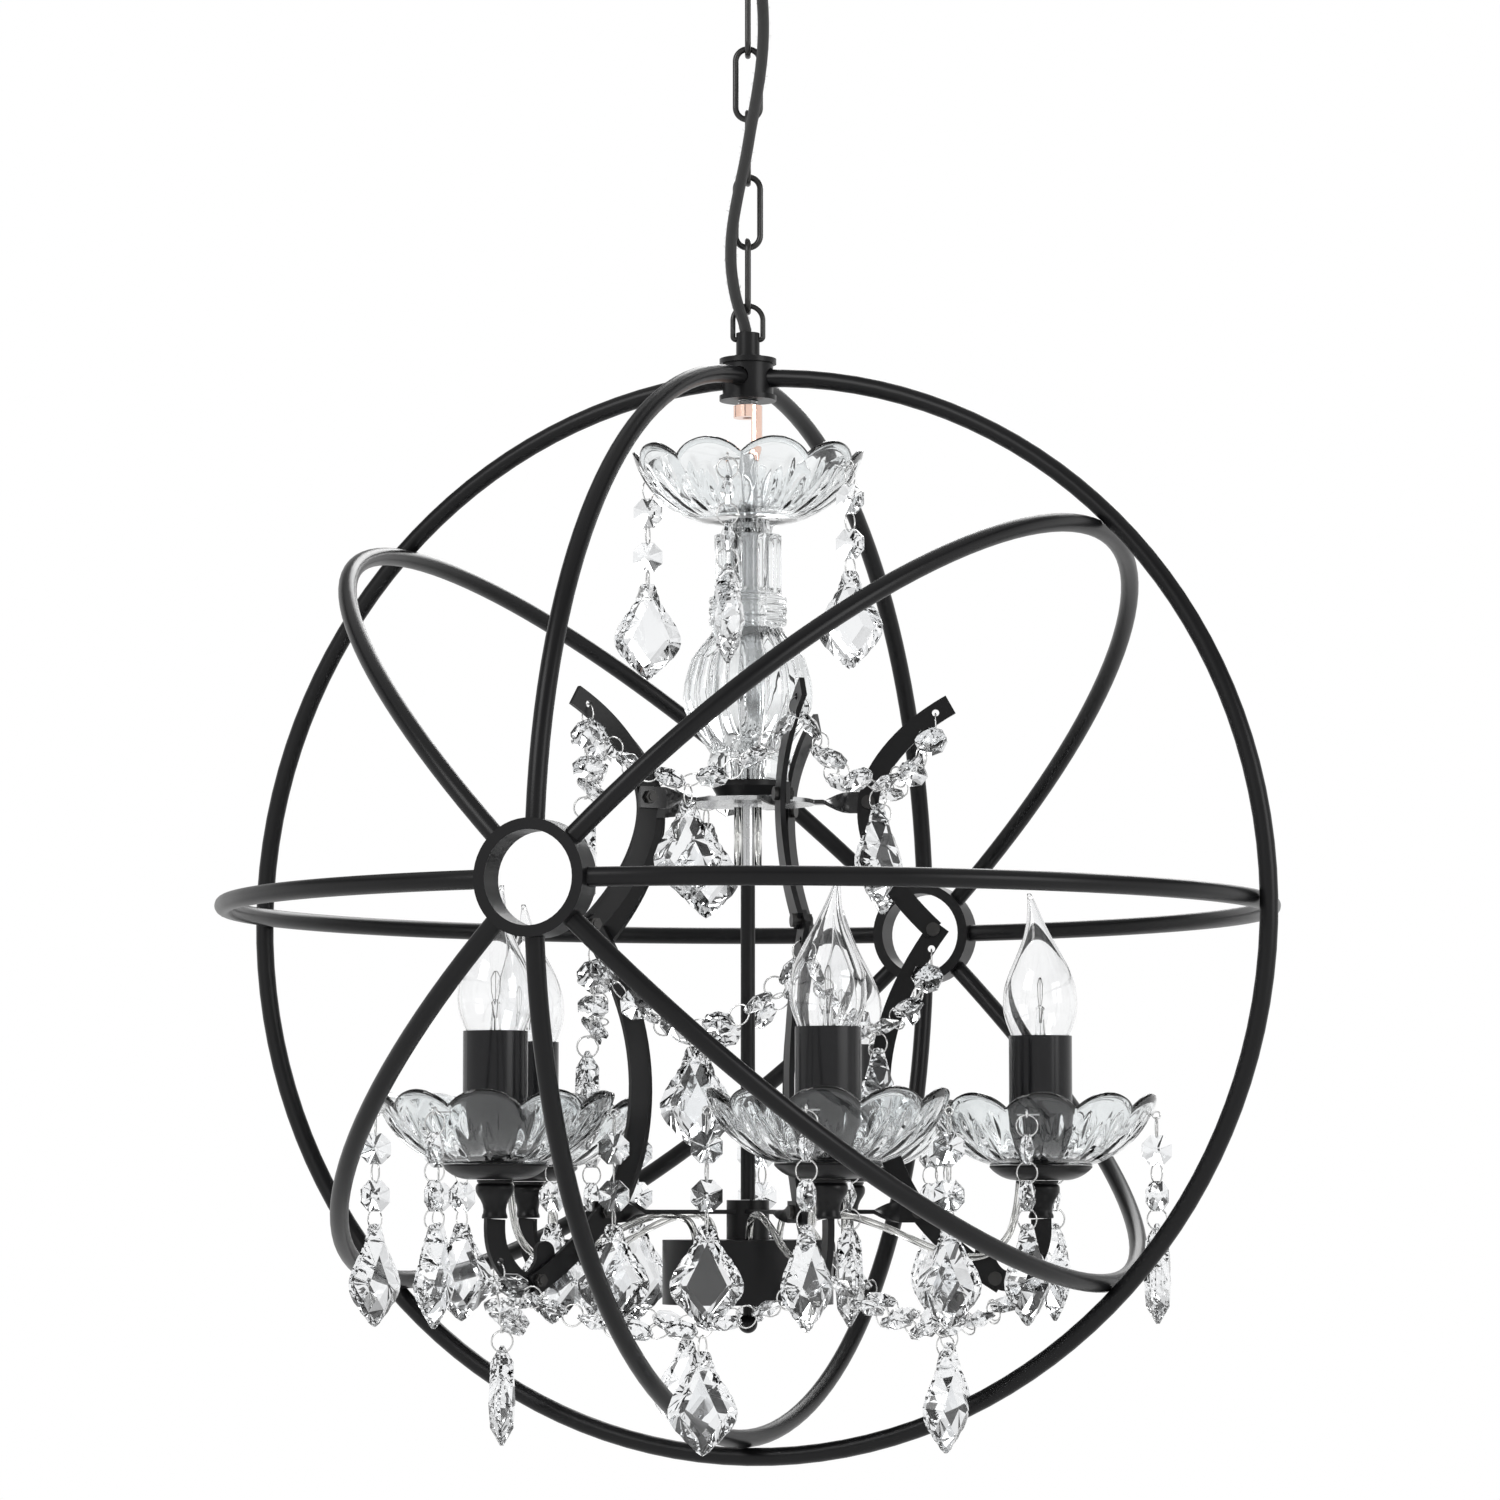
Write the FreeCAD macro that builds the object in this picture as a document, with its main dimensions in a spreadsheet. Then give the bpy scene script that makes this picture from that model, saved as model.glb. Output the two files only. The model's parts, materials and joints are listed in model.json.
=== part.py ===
import FreeCAD, Part
import math
import os
import Sketcher

# An orb chandelier: a cage of round bars around a five-candle crystal chandelier, hung on a
# short chain. Millimetres, +Z up. The origin is the middle of the ceiling mount, and the
# middle of the orb hangs orb_drop below it. Levels are measured up from the orb's middle.

V = FreeCAD.Vector
Z_AXIS = V(0, 0, 1)
DOWN = V(0, 0, -1)
doc = FreeCAD.newDocument("orb_chandelier")

# ---------------------------------------------------------------- driving dimensions
SIZES = {
    # where things hang
    "orb_drop": 500.0, "seat_gap": 0.1, "soft_gap": 0.3, "view_turn": 21.64, "arm_turn": -53.3,
    "arm_count": 5,
    # cage
    "tube_diameter": 8.5, "ring_top_level": 251.5, "ring_low_level": 255.75,
    "hub_ring_reach": 246.5, "hub_ring_outer": 51.0, "hub_ring_inner": 41.0,
    "hub_ring_length": 15.0, "set_screw_diameter": 3.6, "set_screw_height": 1.2,
    "set_screw_place": 16.0, "socket_gap": 0.3,
    # top hub and stem
    "top_hub_body": 24.0, "top_hub_disc": 27.0, "top_hub_height": 20.0, "top_hub_low": 241.0,
    "disc_thickness": 2.4, "stud_diameter": 9.6, "tube_stop_radius": 6.5,
    "collar_diameter": 11.2, "collar_bore": 9.8, "collar_height": 12.4, "collar_floor": 3.4,
    "flange_diameter": 13.6, "flange_height": 1.6, "wire_hole": 4.0,
    "bail_wire": 2.5, "bail_radius": 7.1, "bail_knee": 1.5, "bail_hole_height": 9.4,
    "bail_leg": 9.2,
    "coupling_diameter": 13.6, "coupling_top": 238.5, "coupling_low": 214.0,
    "coupling_collar": 5.6, "coupling_foot": 2.6, "coupling_spine": 1.6, "stud_low": 233.5,
    # chain, cord and ceiling
    "link_length": 37.0, "link_width": 14.5, "link_wire": 2.9, "link_count": 4,
    "cord_diameter": 5.5, "loop_wire": 3.0, "loop_neck": 27.0,
    "loop_bore": 17.0, "loop_neck_height": 9.0, "canopy_diameter": 110.0, "canopy_height": 27.0,
    "canopy_wall": 1.2, "canopy_bend": 9.0, "bar_length": 103.0, "bar_width": 24.0,
    "bar_thickness": 3.0, "bar_ear": 13.0, "bar_slot_spacing": 70.0, "bar_hole": 5.0,
    "block_length": 22.0, "block_width": 14.0, "block_height": 9.0, "side_screw": 4.0,
    "side_screw_head": 7.0,
    # central column
    "rod_diameter": 9.4, "rod_bore": 5.0, "rod_top": 213.9, "rod_step": 48.0, "thin_rod": 6.0,
    "rod_low": 16.0, "stem_diameter": 6.8, "dish_top_base": 184.0, "column_low": 60.0,
    "flute_width": 7.0, "flute_offset": 1.6, "flute_count": 14,
    "column_collar": 21.0, "column_ribbed": 32.0, "column_ring": 37.0, "column_urn": 62.0,
    "column_foot": 38.0, "column_bore": 12.0, "column_waist": 46.0, "column_shoulder": 54.0,
    "column_foot_top": 9.0, "column_urn_low": 13.0, "column_waist_level": 21.0,
    "column_urn_level": 40.0, "column_shoulder_level": 58.0, "column_ring_low": 73.0,
    "column_ring_top": 88.0, "column_neck_top": 116.0, "cup_diameter": 34.0, "cup_foot": 27.0,
    "spider_disc": 63.0, "spider_level": 49.0, "spider_thickness": 2.0, "bar_flat": 8.0,
    # scrolls, struts and body
    "scroll_width": 9.6, "scroll_thickness": 2.5, "plate_gap": 0.1, "paddle_width": 10.0,
    "paddle_thickness": 2.0, "paddle_length": 14.0, "paddle_turn": 12.0, "bolt_diameter": 3.6,
    "bolt_head": 6.4, "bolt_head_height": 2.0, "bolt_hole": 4.0, "hook_hole": 3.4,
    "strut_level": -142.0, "lower_hub_diameter": 20.0, "lower_hub_top": -136.5,
    "body_diameter": 80.0, "body_top": -155.0, "body_height": 30.0, "body_wall": 1.5,
    "finial_diameter": 9.0, "finial_drop": 9.0,
    # candles
    "candle_radius": 137.0, "arm_thickness": 3.0, "neck_top": -127.4, "neck_height": 17.6,
    "neck_width": 17.6, "neck_waist": 11.4, "pan_diameter": 48.0, "pan_height": 7.0,
    "dish_diameter": 110.0, "dish_height": 33.0, "dish_wall": 2.8, "dish_foot": 48.0,
    "dish_belly": 86.0, "dish_belly_level": 11.0, "dish_lobe": 7.0, "lobe_count": 10,
    "dish_hole": 10.6, "dish_base": -120.2,
    "sleeve_diameter": 29.6, "sleeve_wall": 1.1, "sleeve_top": -60.0, "socket_diameter": 24.0,
    "socket_bore": 14.6, "socket_floor": 3.0, "bulb_sink": 18.0, "cap_diameter": 13.9,
    "cap_height": 24.0, "bulb_diameter": 35.0, "bulb_height": 67.0, "bulb_bend": 5.0,
    "glass_wall": 0.9, "lead_diameter": 3.4,
    # crystals
    "bead_size": 14.0, "bead_thickness": 6.8, "bead_table": 6.6, "bead_girdle": 1.8,
    "bead_holes": 11.3, "bead_hole": 2.2, "ring_radius": 5.0, "ring_wire": 0.8,
    "drop_length": 46.0, "drop_width": 33.0, "drop_thickness": 11.0, "drop_hole_inset": 2.7,
    "pin_height": 23.0, "pin_reach": 2.6, "pin_loop": 1.7, "pin_wire": 0.8, "pin_bar": 10.0,
    "pin_slack": 0.6, "strand_beads": 2, "garland_tilt": 40.0,
    "garland_upper_beads": 6, "garland_middle_beads": 6, "garland_lower_beads": 8,
}


class Size(float):
    """A length that remembers the spreadsheet expression that it comes from."""

    def __new__(cls, value, text):
        size = super().__new__(cls, value)
        size.text = text
        return size


def text_of(value):
    return value.text if isinstance(value, Size) else repr(float(value))


def add(*terms):
    return Size(sum(float(t) for t in terms), "(" + " + ".join(text_of(t) for t in terms) + ")")


def less(first, *others):
    text = "(" + text_of(first) + "".join(" - " + text_of(o) for o in others) + ")"
    return Size(float(first) - sum(float(o) for o in others), text)


def times(value, factor):
    return Size(float(value) * float(factor), "(" + text_of(value) + " * " + text_of(factor) + ")")


sheet = doc.addObject("Spreadsheet::Sheet", "sizes")
for row, (alias, value) in enumerate(SIZES.items(), start=1):
    sheet.set(f"A{row}", alias)
    sheet.set(f"B{row}", str(value))
    sheet.setAlias(f"B{row}", alias)
doc.recompute()


def size(alias):
    return Size(float(sheet.get(alias)), "sizes." + alias)


def half(alias):
    return times(size(alias), 0.5)


def count(alias):
    return int(round(float(sheet.get(alias))))


# ---------------------------------------------------------------- helpers
sub_parts = []
ARM_ANGLES = [size("arm_turn") + 360.0 / count("arm_count") * k for k in range(count("arm_count"))]
DROP = float(size("orb_drop"))


def world_level(level):
    """The height of a level of the orb, measured from the ceiling."""
    return less(level, size("orb_drop"))


def publish(obj, label):
    obj.Label = label
    sub_parts.append(obj)
    return obj


def feature(label, shape, hung=True, turn=0.0):
    """A sub-part whose shape is made directly, in the orb's frame when it is hung."""
    obj = publish(doc.addObject("Part::Feature", label), label)
    own = shape.Placement
    obj.Shape = shape
    place = FreeCAD.Placement(V(0, 0, -DROP if hung else 0), FreeCAD.Rotation(Z_AXIS, turn))
    obj.Placement = place.multiply(own)
    return obj


def origin_part(body, role):
    return [item for item in body.Origin.OriginFeatures if item.Role == role][0]


def bind(sketch, kind, where, value):
    """One dimension of a sketch, tied to the spreadsheet."""
    index = sketch.addConstraint(Sketcher.Constraint(kind, *where, float(value)))
    sketch.setExpression(f"Constraints[{index}]", text_of(value))


def pin_point(sketch, line, end, point):
    """Ties one end of a line to its place from the sketch's origin."""
    for kind, axis, value in (("DistanceX", -2, point[0]), ("DistanceY", -1, point[1])):
        if abs(float(value)) < 1e-9:
            sketch.addConstraint(Sketcher.Constraint("PointOnObject", line, end, axis))
        else:
            bind(sketch, kind, (-1, 1, line, end), value)


def outline(body, plane, points):
    """A closed sketch of straight lines through the points."""
    sketch = body.newObject("Sketcher::SketchObject", body.Name + "_outline")
    sketch.AttachmentSupport = [(origin_part(body, plane), "")]
    sketch.MapMode = "FlatFace"
    ends = points[1:] + points[:1]
    for start, end in zip(points, ends):
        line = Part.LineSegment(V(start[0], start[1], 0), V(end[0], end[1], 0))
        sketch.addGeometry(line, False)
    for line in range(len(points)):
        sketch.addConstraint(Sketcher.Constraint("Coincident", line, 2, (line + 1) % len(points), 1))
    for line, point in enumerate(points):
        pin_point(sketch, line, 1, point)
    return sketch


def circles(body, plane, spots):
    """A sketch of circles, each given as (x, y, diameter)."""
    sketch = body.newObject("Sketcher::SketchObject", body.Name + "_circles")
    sketch.AttachmentSupport = [(origin_part(body, plane), "")]
    sketch.MapMode = "FlatFace"
    for x, y, diameter in spots:
        circle = sketch.addGeometry(Part.Circle(V(x, y, 0), Z_AXIS, float(diameter) / 2), False)
        bind(sketch, "Diameter", (circle,), diameter)
        pin_point(sketch, circle, 3, (x, y))
    return sketch


def start_body(label):
    body = doc.addObject("PartDesign::Body", label)
    return publish(body, label)


def hang(body, base, turn=0.0):
    """Puts a body's own zero at a level of the orb and turns it about the orb's axis."""
    level = world_level(base)
    body.Placement = FreeCAD.Placement(V(0, 0, level), FreeCAD.Rotation(Z_AXIS, float(turn)))
    body.setExpression("Placement.Base.z", level.text)
    if isinstance(turn, Size):
        body.setExpression("Placement.Rotation.Angle", turn.text)


def turned(label, base, points, radius=None, turn=0.0):
    """A turned piece from (radius, height) points; with a radius, one copy on every arm."""
    body = start_body(label)
    if radius is None:
        sketch = outline(body, "XZ_Plane", points)
        axis = (sketch, ["V_Axis"])
    else:
        sketch = outline(body, "XZ_Plane", [(add(radius, x), y) for x, y in points])
        line = Part.LineSegment(V(radius, 0, 0), V(radius, 10, 0))
        line = sketch.addGeometry(line, True)
        sketch.addConstraint(Sketcher.Constraint("Vertical", line))
        pin_point(sketch, line, 1, (radius, 0.0))
        sketch.addConstraint(Sketcher.Constraint("DistanceY", line, 1, line, 2, 10.0))
        axis = (sketch, ["Axis0"])
    spin = body.newObject("PartDesign::Revolution", label + "_turning")
    spin.Profile = sketch
    spin.ReferenceAxis = axis
    spin.Angle = 360
    if radius is not None:
        doc.recompute()
        ring_of_copies(body, spin, "arm_count")
        turn = size("arm_turn")
    hang(body, base, turn)
    return body


def ring_of_copies(body, original, number):
    pattern = body.newObject("PartDesign::PolarPattern", body.Name + "_copies")
    pattern.Originals = [original]
    pattern.Axis = (origin_part(body, "Z_Axis"), [""])
    pattern.Angle = 360
    pattern.Occurrences = count(number)
    pattern.setExpression("Occurrences", "sizes." + number)
    body.Tip = pattern


def pocket(body, sketch, midplane=True, length=None, reverse=False):
    """Cuts a sketch through a body, and checks that something was cut."""
    doc.recompute()
    before = body.Shape.Volume
    cut = body.newObject("PartDesign::Pocket", body.Name + "_cut")
    cut.Profile = sketch
    if length is None:
        cut.Type = "ThroughAll"
    else:
        cut.Length = float(length)
        cut.setExpression("Length", text_of(length))
    cut.Midplane = midplane
    cut.Reversed = reverse
    doc.recompute()
    if body.Shape.Volume > before - 0.01:
        raise ValueError("nothing cut from " + body.Label)
    return cut


def around(shape, angles):
    """Copies of a shape, modelled on +X, at each angle about the orb's axis."""
    return Part.makeCompound([shape.rotated(V(0, 0, 0), Z_AXIS, float(a)) for a in angles])


def loose(shapes):
    return Part.makeCompound([solid for shape in shapes for solid in shape.Solids])


def rod(start, end, diameter):
    return Part.makeCylinder(float(diameter) / 2, (end - start).Length, start, end - start)


def torus(centre, normal, radius, wire):
    return Part.makeTorus(float(radius), float(wire) / 2, centre, normal)


def bent_tube(points, diameter):
    """A round tube along straight runs joined by tangent arcs. Returns it and the path."""
    edges = []
    radii = []
    here = points[0]
    for before, corner, after in zip(points, points[1:], points[2:]):
        coming = (corner - before).normalize()
        going = (after - corner).normalize()
        turn = coming.getAngle(going)
        reach = 0.45 * min((corner - before).Length, (after - corner).Length)
        radii.append(reach / math.tan(turn / 2))
        start = corner - coming * reach
        end = corner + going * reach
        inward = (going - coming).normalize()
        centre = corner + inward * (radii[-1] / math.cos(turn / 2))
        middle = centre - inward * radii[-1]
        if (start - here).Length > 1e-6:
            edges.append(Part.LineSegment(here, start).toShape())
        edges.append(Part.Arc(start, middle, end).toShape())
        here = end
    edges.append(Part.LineSegment(here, points[-1]).toShape())
    path = Part.Wire(edges)
    first = (points[1] - points[0]).normalize()
    circle = Part.Wire([Part.Circle(points[0], first, float(diameter) / 2).toShape()])
    tube = path.makePipeShell([circle], True, False)
    return tube, path, radii


def swept_wire(edges, diameter, start, direction):
    """A round wire along joined edges that follow on smoothly."""
    circle = Part.Wire([Part.Circle(start, direction, float(diameter) / 2).toShape()])
    return Part.Wire(edges).makePipeShell([circle], True, False)


def curve_through(points):
    curve = Part.BSplineCurve()
    curve.interpolate(points)
    return curve


def lathe(*runs):
    """A turned solid: each run of (radius, level) points is straight with two, smooth with more."""
    edges = []
    for run in runs:
        spots = [V(r, 0, z) for r, z in run]
        if len(spots) == 2:
            edges.append(Part.LineSegment(*spots).toShape())
        elif len(spots) == 3:
            edges.append(Part.Arc(*spots).toShape())
        else:
            edges.append(curve_through(spots).toShape())
    return Part.Face(Part.Wire(edges)).revolve(V(0, 0, 0), Z_AXIS, 360)


def joined(points):
    """Straight runs through the points, one after the other."""
    return [list(pair) for pair in zip(points, points[1:])]


def strip(points, width, low, thickness, round_end=False):
    """A flat plate that follows a curve in the plane of an arm, on +X, from low upwards in Y."""
    middle = curve_through([V(r, low, z) for r, z in points])
    first = middle.FirstParameter
    step = (middle.LastParameter - first) / (3 * len(points))
    sides = ([], [])
    for k in range(3 * len(points) + 1):
        place = first + step * k
        across = middle.tangent(place)[0].cross(V(0, 1, 0)).normalize() * (width / 2)
        sides[0].append(middle.value(place) + across)
        sides[1].append(middle.value(place) - across)
    left, right = (curve_through(side) for side in sides)
    start, end = (Part.LineSegment(sides[0][k], sides[1][k]).toShape() for k in (0, -1))
    if round_end:
        tip = middle.value(middle.LastParameter) + middle.tangent(middle.LastParameter)[0] * (width / 2)
        end = Part.Arc(sides[0][-1], tip, sides[1][-1]).toShape()
    edges = Part.__sortEdges__([left.toShape(), end, right.toShape(), start])
    return Part.Face(Part.Wire(edges)).extrude(V(0, thickness, 0))


def level_of(points, level):
    """The place on a curve through the points at which it crosses a level."""
    middle = curve_through([V(r, 0, z) for r, z in points])
    line = Part.LineSegment(V(0, 0, level), V(2 * max(r for r, z in points), 0, level))
    spot = middle.intersectCC(line.toShape().Curve)[0]
    return V(spot.X, spot.Y, spot.Z)


# ---------------------------------------------------------------- cage
tube = float(size("tube_diameter"))
seat_gap = float(size("seat_gap"))
soft_gap = float(size("soft_gap"))
ring_radius = (size("ring_top_level") + size("ring_low_level")) / 2
ring_middle = (size("ring_top_level") - size("ring_low_level")) / 2
hub_ring_radius = size("hub_ring_outer") / 2


def ring_distance(angle):
    """From the orb's middle to the upright ring's centreline, at an angle up from +X."""
    rise = ring_middle * math.sin(angle)
    return rise + math.sqrt(ring_radius ** 2 - (ring_middle * math.cos(angle)) ** 2)


def hoop_arc(angle):
    """The outward direction, centre and radius of a half hoop, and its furthest reach."""
    outward = V(math.cos(angle), 0, math.sin(angle))
    if math.sin(angle) > 0.999:
        furthest = float(size("ring_top_level"))
    else:
        furthest = ring_distance(angle) - tube - seat_gap / 2
    inmost = hub_ring_radius - tube / 4
    rise = furthest - inmost
    bend = (size("hub_ring_reach") ** 2 + rise ** 2) / (2 * rise)
    return outward, outward * (furthest - bend), bend, furthest - bend - inmost


def half_hoop(angle):
    """A round bar bent to an arc from the front hub ring, past the upright ring, to the rear."""
    outward, centre, bend, offset = hoop_arc(angle)
    spread = math.atan2(float(size("hub_ring_reach")), -offset)
    side = V(0, 1, 0)
    start = centre + outward * (bend * math.cos(spread)) - side * (bend * math.sin(spread))
    along = outward * math.sin(spread) + side * math.cos(spread)
    profile = Part.Face(Part.Wire([Part.Circle(start, along, tube / 2).toShape()]))
    bar = profile.revolve(centre, outward.cross(side), 2 * math.degrees(spread))
    seat_radius = hub_ring_radius + seat_gap / 2
    return bar.cut(Part.makeCylinder(seat_radius, 4 * ring_radius, side * (-2 * ring_radius), side))


def clear_of_stud(bar):
    """Bars that meet at the top hub stop short of the stud inside it."""
    low = V(0, 0, size("ring_top_level") - 2 * tube)
    return bar.cut(Part.makeCylinder(size("tube_stop_radius"), 4 * tube, low))


HOOPS = {
    "cage_hoop_upright": 90, "cage_hoop_level": 0, "cage_hoop_rising": 45, "cage_hoop_falling": 135}
for name, lean in HOOPS.items():
    halves = [half_hoop(math.radians(lean)), half_hoop(math.radians(lean + 180))]
    if name == "cage_hoop_upright":
        halves[0] = clear_of_stud(halves[0])
    feature(name, loose(halves))



def upright_ring():
    """Two round bars, bent from the ring's lowest place up to the top hub and joined below."""
    middle = V(0, 0, ring_middle)
    profile = Part.Face(Part.Wire([Part.Circle(middle + DOWN * ring_radius, V(1, 0, 0), tube / 2).toShape()]))
    stop = math.asin(size("tube_stop_radius") / (ring_radius - tube / 2))
    halves = [profile.revolve(middle, V(0, side, 0), 180 - math.degrees(stop)) for side in (-1, 1)]
    return halves[0].fuse(halves[1])


feature("cage_ring", upright_ring())

hub_rings = start_body("hub_rings")
rim = circles(hub_rings, "XZ_Plane", [
    (0.0, 0.0, size("hub_ring_outer")), (0.0, 0.0, size("hub_ring_inner"))])
pad = hub_rings.newObject("PartDesign::Pad", "hub_ring_pad")
pad.Profile = rim
pad.Midplane = True
between = times(less(size("hub_ring_reach"), half("hub_ring_length")), 2)
overall = times(add(size("hub_ring_reach"), half("hub_ring_length")), 2)
pad.Length = float(overall)
pad.setExpression("Length", overall.text)
apart = circles(hub_rings, "XZ_Plane", [(0.0, 0.0, times(size("hub_ring_outer"), 2))])
pocket(hub_rings, apart, length=between)
hang(hub_rings, 0.0)


def set_screw(angle):
    """A small screw through a hoop's end, beside the rear hub ring."""
    outward, centre, bend, offset = hoop_arc(angle)
    out = hub_ring_radius + size("set_screw_place")
    reach = out - centre.dot(outward)
    seat = outward * out + V(0, math.sqrt(bend ** 2 - reach ** 2), 0)
    away = (seat - centre).normalize()
    head = rod(seat, seat + away * (tube / 2 + size("set_screw_height")), size("set_screw_diameter"))
    return head.cut(half_hoop(angle))


feature("cage_set_screws", loose([set_screw(math.radians(45 * k)) for k in range(8)]))

# ---------------------------------------------------------------- top hub and stem
body_r = half("top_hub_body")
disc_r = half("top_hub_disc")
bore_r = add(half("stud_diameter"), size("seat_gap"))
hub_h = size("top_hub_height")
disc_h = size("disc_thickness")
hub = turned("cage_top_hub", size("top_hub_low"), [
    (bore_r, 0.0), (disc_r, 0.0), (disc_r, disc_h), (body_r, disc_h), (body_r, less(hub_h, disc_h)),
    (disc_r, less(hub_h, disc_h)), (disc_r, hub_h), (bore_r, hub_h)])
socket_level = less(size("ring_top_level"), size("top_hub_low"))
socket_width = add(size("tube_diameter"), times(size("socket_gap"), 2))
for plane in ("XZ_Plane", "YZ_Plane"):
    pocket(hub, circles(hub, plane, [(0.0, socket_level, socket_width)]))

collar_base = add(size("top_hub_low"), size("top_hub_height"))
collar_r = half("collar_diameter")
inner_r = half("collar_bore")
wire_r = half("wire_hole")
collar_h = size("collar_height")
collar = turned("loop_collar", collar_base, [
    (wire_r, 0.0), (half("flange_diameter"), 0.0), (half("flange_diameter"), size("flange_height")),
    (collar_r, size("flange_height")), (collar_r, collar_h), (inner_r, collar_h),
    (inner_r, size("collar_floor")), (wire_r, size("collar_floor"))], turn=size("view_turn"))
bail_eye = add(size("bail_wire"), size("socket_gap"))
pocket(collar, circles(collar, "YZ_Plane", [(0.0, size("bail_hole_height"), bail_eye)]))

stud_h = less(collar_base, size("stud_low"))
turned("threaded_stud", size("stud_low"), [
    (half("rod_bore"), 0.0), (half("stud_diameter"), 0.0), (half("stud_diameter"), stud_h),
    (half("rod_bore"), stud_h)])

coupling_r = half("coupling_diameter")
coupling_h = less(size("coupling_top"), size("coupling_low"))
thread_low = less(size("stud_low"), size("coupling_low"), size("seat_gap"))
coupling = turned("stem_coupling", size("coupling_low"), [
    (half("rod_bore"), 0.0), (coupling_r, 0.0), (coupling_r, coupling_h), (bore_r, coupling_h),
    (bore_r, thread_low), (half("rod_bore"), thread_low)], turn=size("view_turn"))
window_low = size("coupling_foot")
window_high = less(coupling_h, size("coupling_collar"))
window_end = times(size("coupling_diameter"), -1.0)
pocket(coupling, outline(coupling, "XZ_Plane", [
    (window_end, window_low), (size("coupling_spine"), window_low),
    (size("coupling_spine"), window_high), (window_end, window_high)]))

# ---------------------------------------------------------------- chain and its bail


def chain_link(low, flat_in_x):
    """An oval link standing on its end, from its lowest level, flat in XZ or in YZ."""
    wire = float(size("link_wire"))
    bend = (size("link_width") - wire) / 2
    across = V(1, 0, 0) if flat_in_x else V(0, 1, 0)
    foot = V(0, 0, low + wire / 2 + bend)
    head = V(0, 0, low + size("link_length") - wire / 2 - bend)
    up = Z_AXIS * bend
    left, right = across * -bend, across * bend
    edges = [
        Part.LineSegment(head + left, foot + left).toShape(),
        Part.Arc(foot + left, foot - up, foot + right).toShape(),
        Part.LineSegment(foot + right, head + right).toShape(),
        Part.Arc(head + right, head + up, head + left).toShape()]
    return swept_wire(edges, wire, head + left, Z_AXIS)


link_pitch = size("link_length") - 2 * size("link_wire") - soft_gap
bail_level = collar_base + size("bail_hole_height")
bail_top = bail_level + size("bail_leg") + size("bail_radius")
first_link = bail_top - size("bail_wire") / 2 - size("link_wire") - soft_gap
links = [chain_link(first_link + link_pitch * k, k % 2 == 1) for k in range(count("link_count"))]
feature("chain_links", loose(links), turn=size("view_turn"))
top_link_low = first_link + link_pitch * count("link_count")
last_link = chain_link(top_link_low, count("link_count") % 2 == 1)
feature("chain_link_top", last_link, turn=size("view_turn"))


def bail():
    """An open ring whose turned-in ends sit in the collar's two side holes."""
    radius = float(size("bail_radius"))
    knee = float(size("bail_knee"))
    end = size("collar_bore") / 2 + seat_gap
    middle = V(0, 0, bail_level + size("bail_leg"))
    slant = knee * math.sqrt(0.5)
    ends = []
    for side in (-1, 1):
        inner = V(side * end, 0, bail_level)
        knee_start = V(side * (radius - knee), 0, bail_level)
        knee_middle = V(side * (radius - knee + slant), 0, bail_level + knee - slant)
        knee_end = V(side * radius, 0, bail_level + knee)
        ends.append((inner, knee_start, knee_middle, knee_end, middle + V(side * radius, 0, 0)))
    first, last = ends
    edges = [
        Part.LineSegment(first[0], first[1]).toShape(), Part.Arc(*first[1:4]).toShape(),
        Part.LineSegment(first[3], first[4]).toShape(),
        Part.Arc(first[4], middle + V(0, 0, radius), last[4]).toShape(),
        Part.LineSegment(last[4], last[3]).toShape(), Part.Arc(last[3], last[2], last[1]).toShape(),
        Part.LineSegment(last[1], last[0]).toShape()]
    return swept_wire(edges, size("bail_wire"), first[0], V(1, 0, 0))


feature("suspension_ring", bail(), turn=size("view_turn"))

# ---------------------------------------------------------------- ceiling pieces and the cord
neck_top = less(size("orb_drop"), size("canopy_height"), size("seat_gap"))
neck_low = less(neck_top, size("loop_neck_height"))
loop_level = top_link_low + size("link_length") - size("link_wire") - soft_gap - size("loop_wire") / 2


def canopy_loop():
    """A stirrup under a hollow neck, whose thin upper end is spread over the canopy's hole."""
    wall = (size("loop_neck") - size("loop_bore")) / 2
    radius = size("loop_neck") / 2 - wall / 2
    middle = V(0, 0, loop_level + radius)
    left, right = V(-radius, 0, 0), V(radius, 0, 0)
    top = V(0, 0, neck_low + size("loop_wire") / 2)
    edges = [
        Part.LineSegment(top + left, middle + left).toShape(),
        Part.Arc(middle + left, middle - V(0, 0, radius), middle + right).toShape(),
        Part.LineSegment(middle + right, top + right).toShape()]
    stirrup = swept_wire(edges, size("loop_wire"), top + left, Z_AXIS)
    bore, neck = size("loop_bore") / 2, size("loop_neck") / 2
    shank = bore + size("canopy_wall")
    shoulder = neck_top + size("canopy_wall") + 2 * seat_gap
    lip = shoulder + size("canopy_wall")
    spots = [
        (bore, neck_low), (neck, neck_low), (neck, neck_top), (shank, neck_top), (shank, shoulder),
        (shank + size("canopy_wall"), shoulder), (shank + size("canopy_wall"), lip), (bore, lip)]
    return stirrup.fuse(lathe(*joined(spots + spots[:1])))


feature("canopy_loop", canopy_loop(), turn=size("view_turn"))

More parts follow.
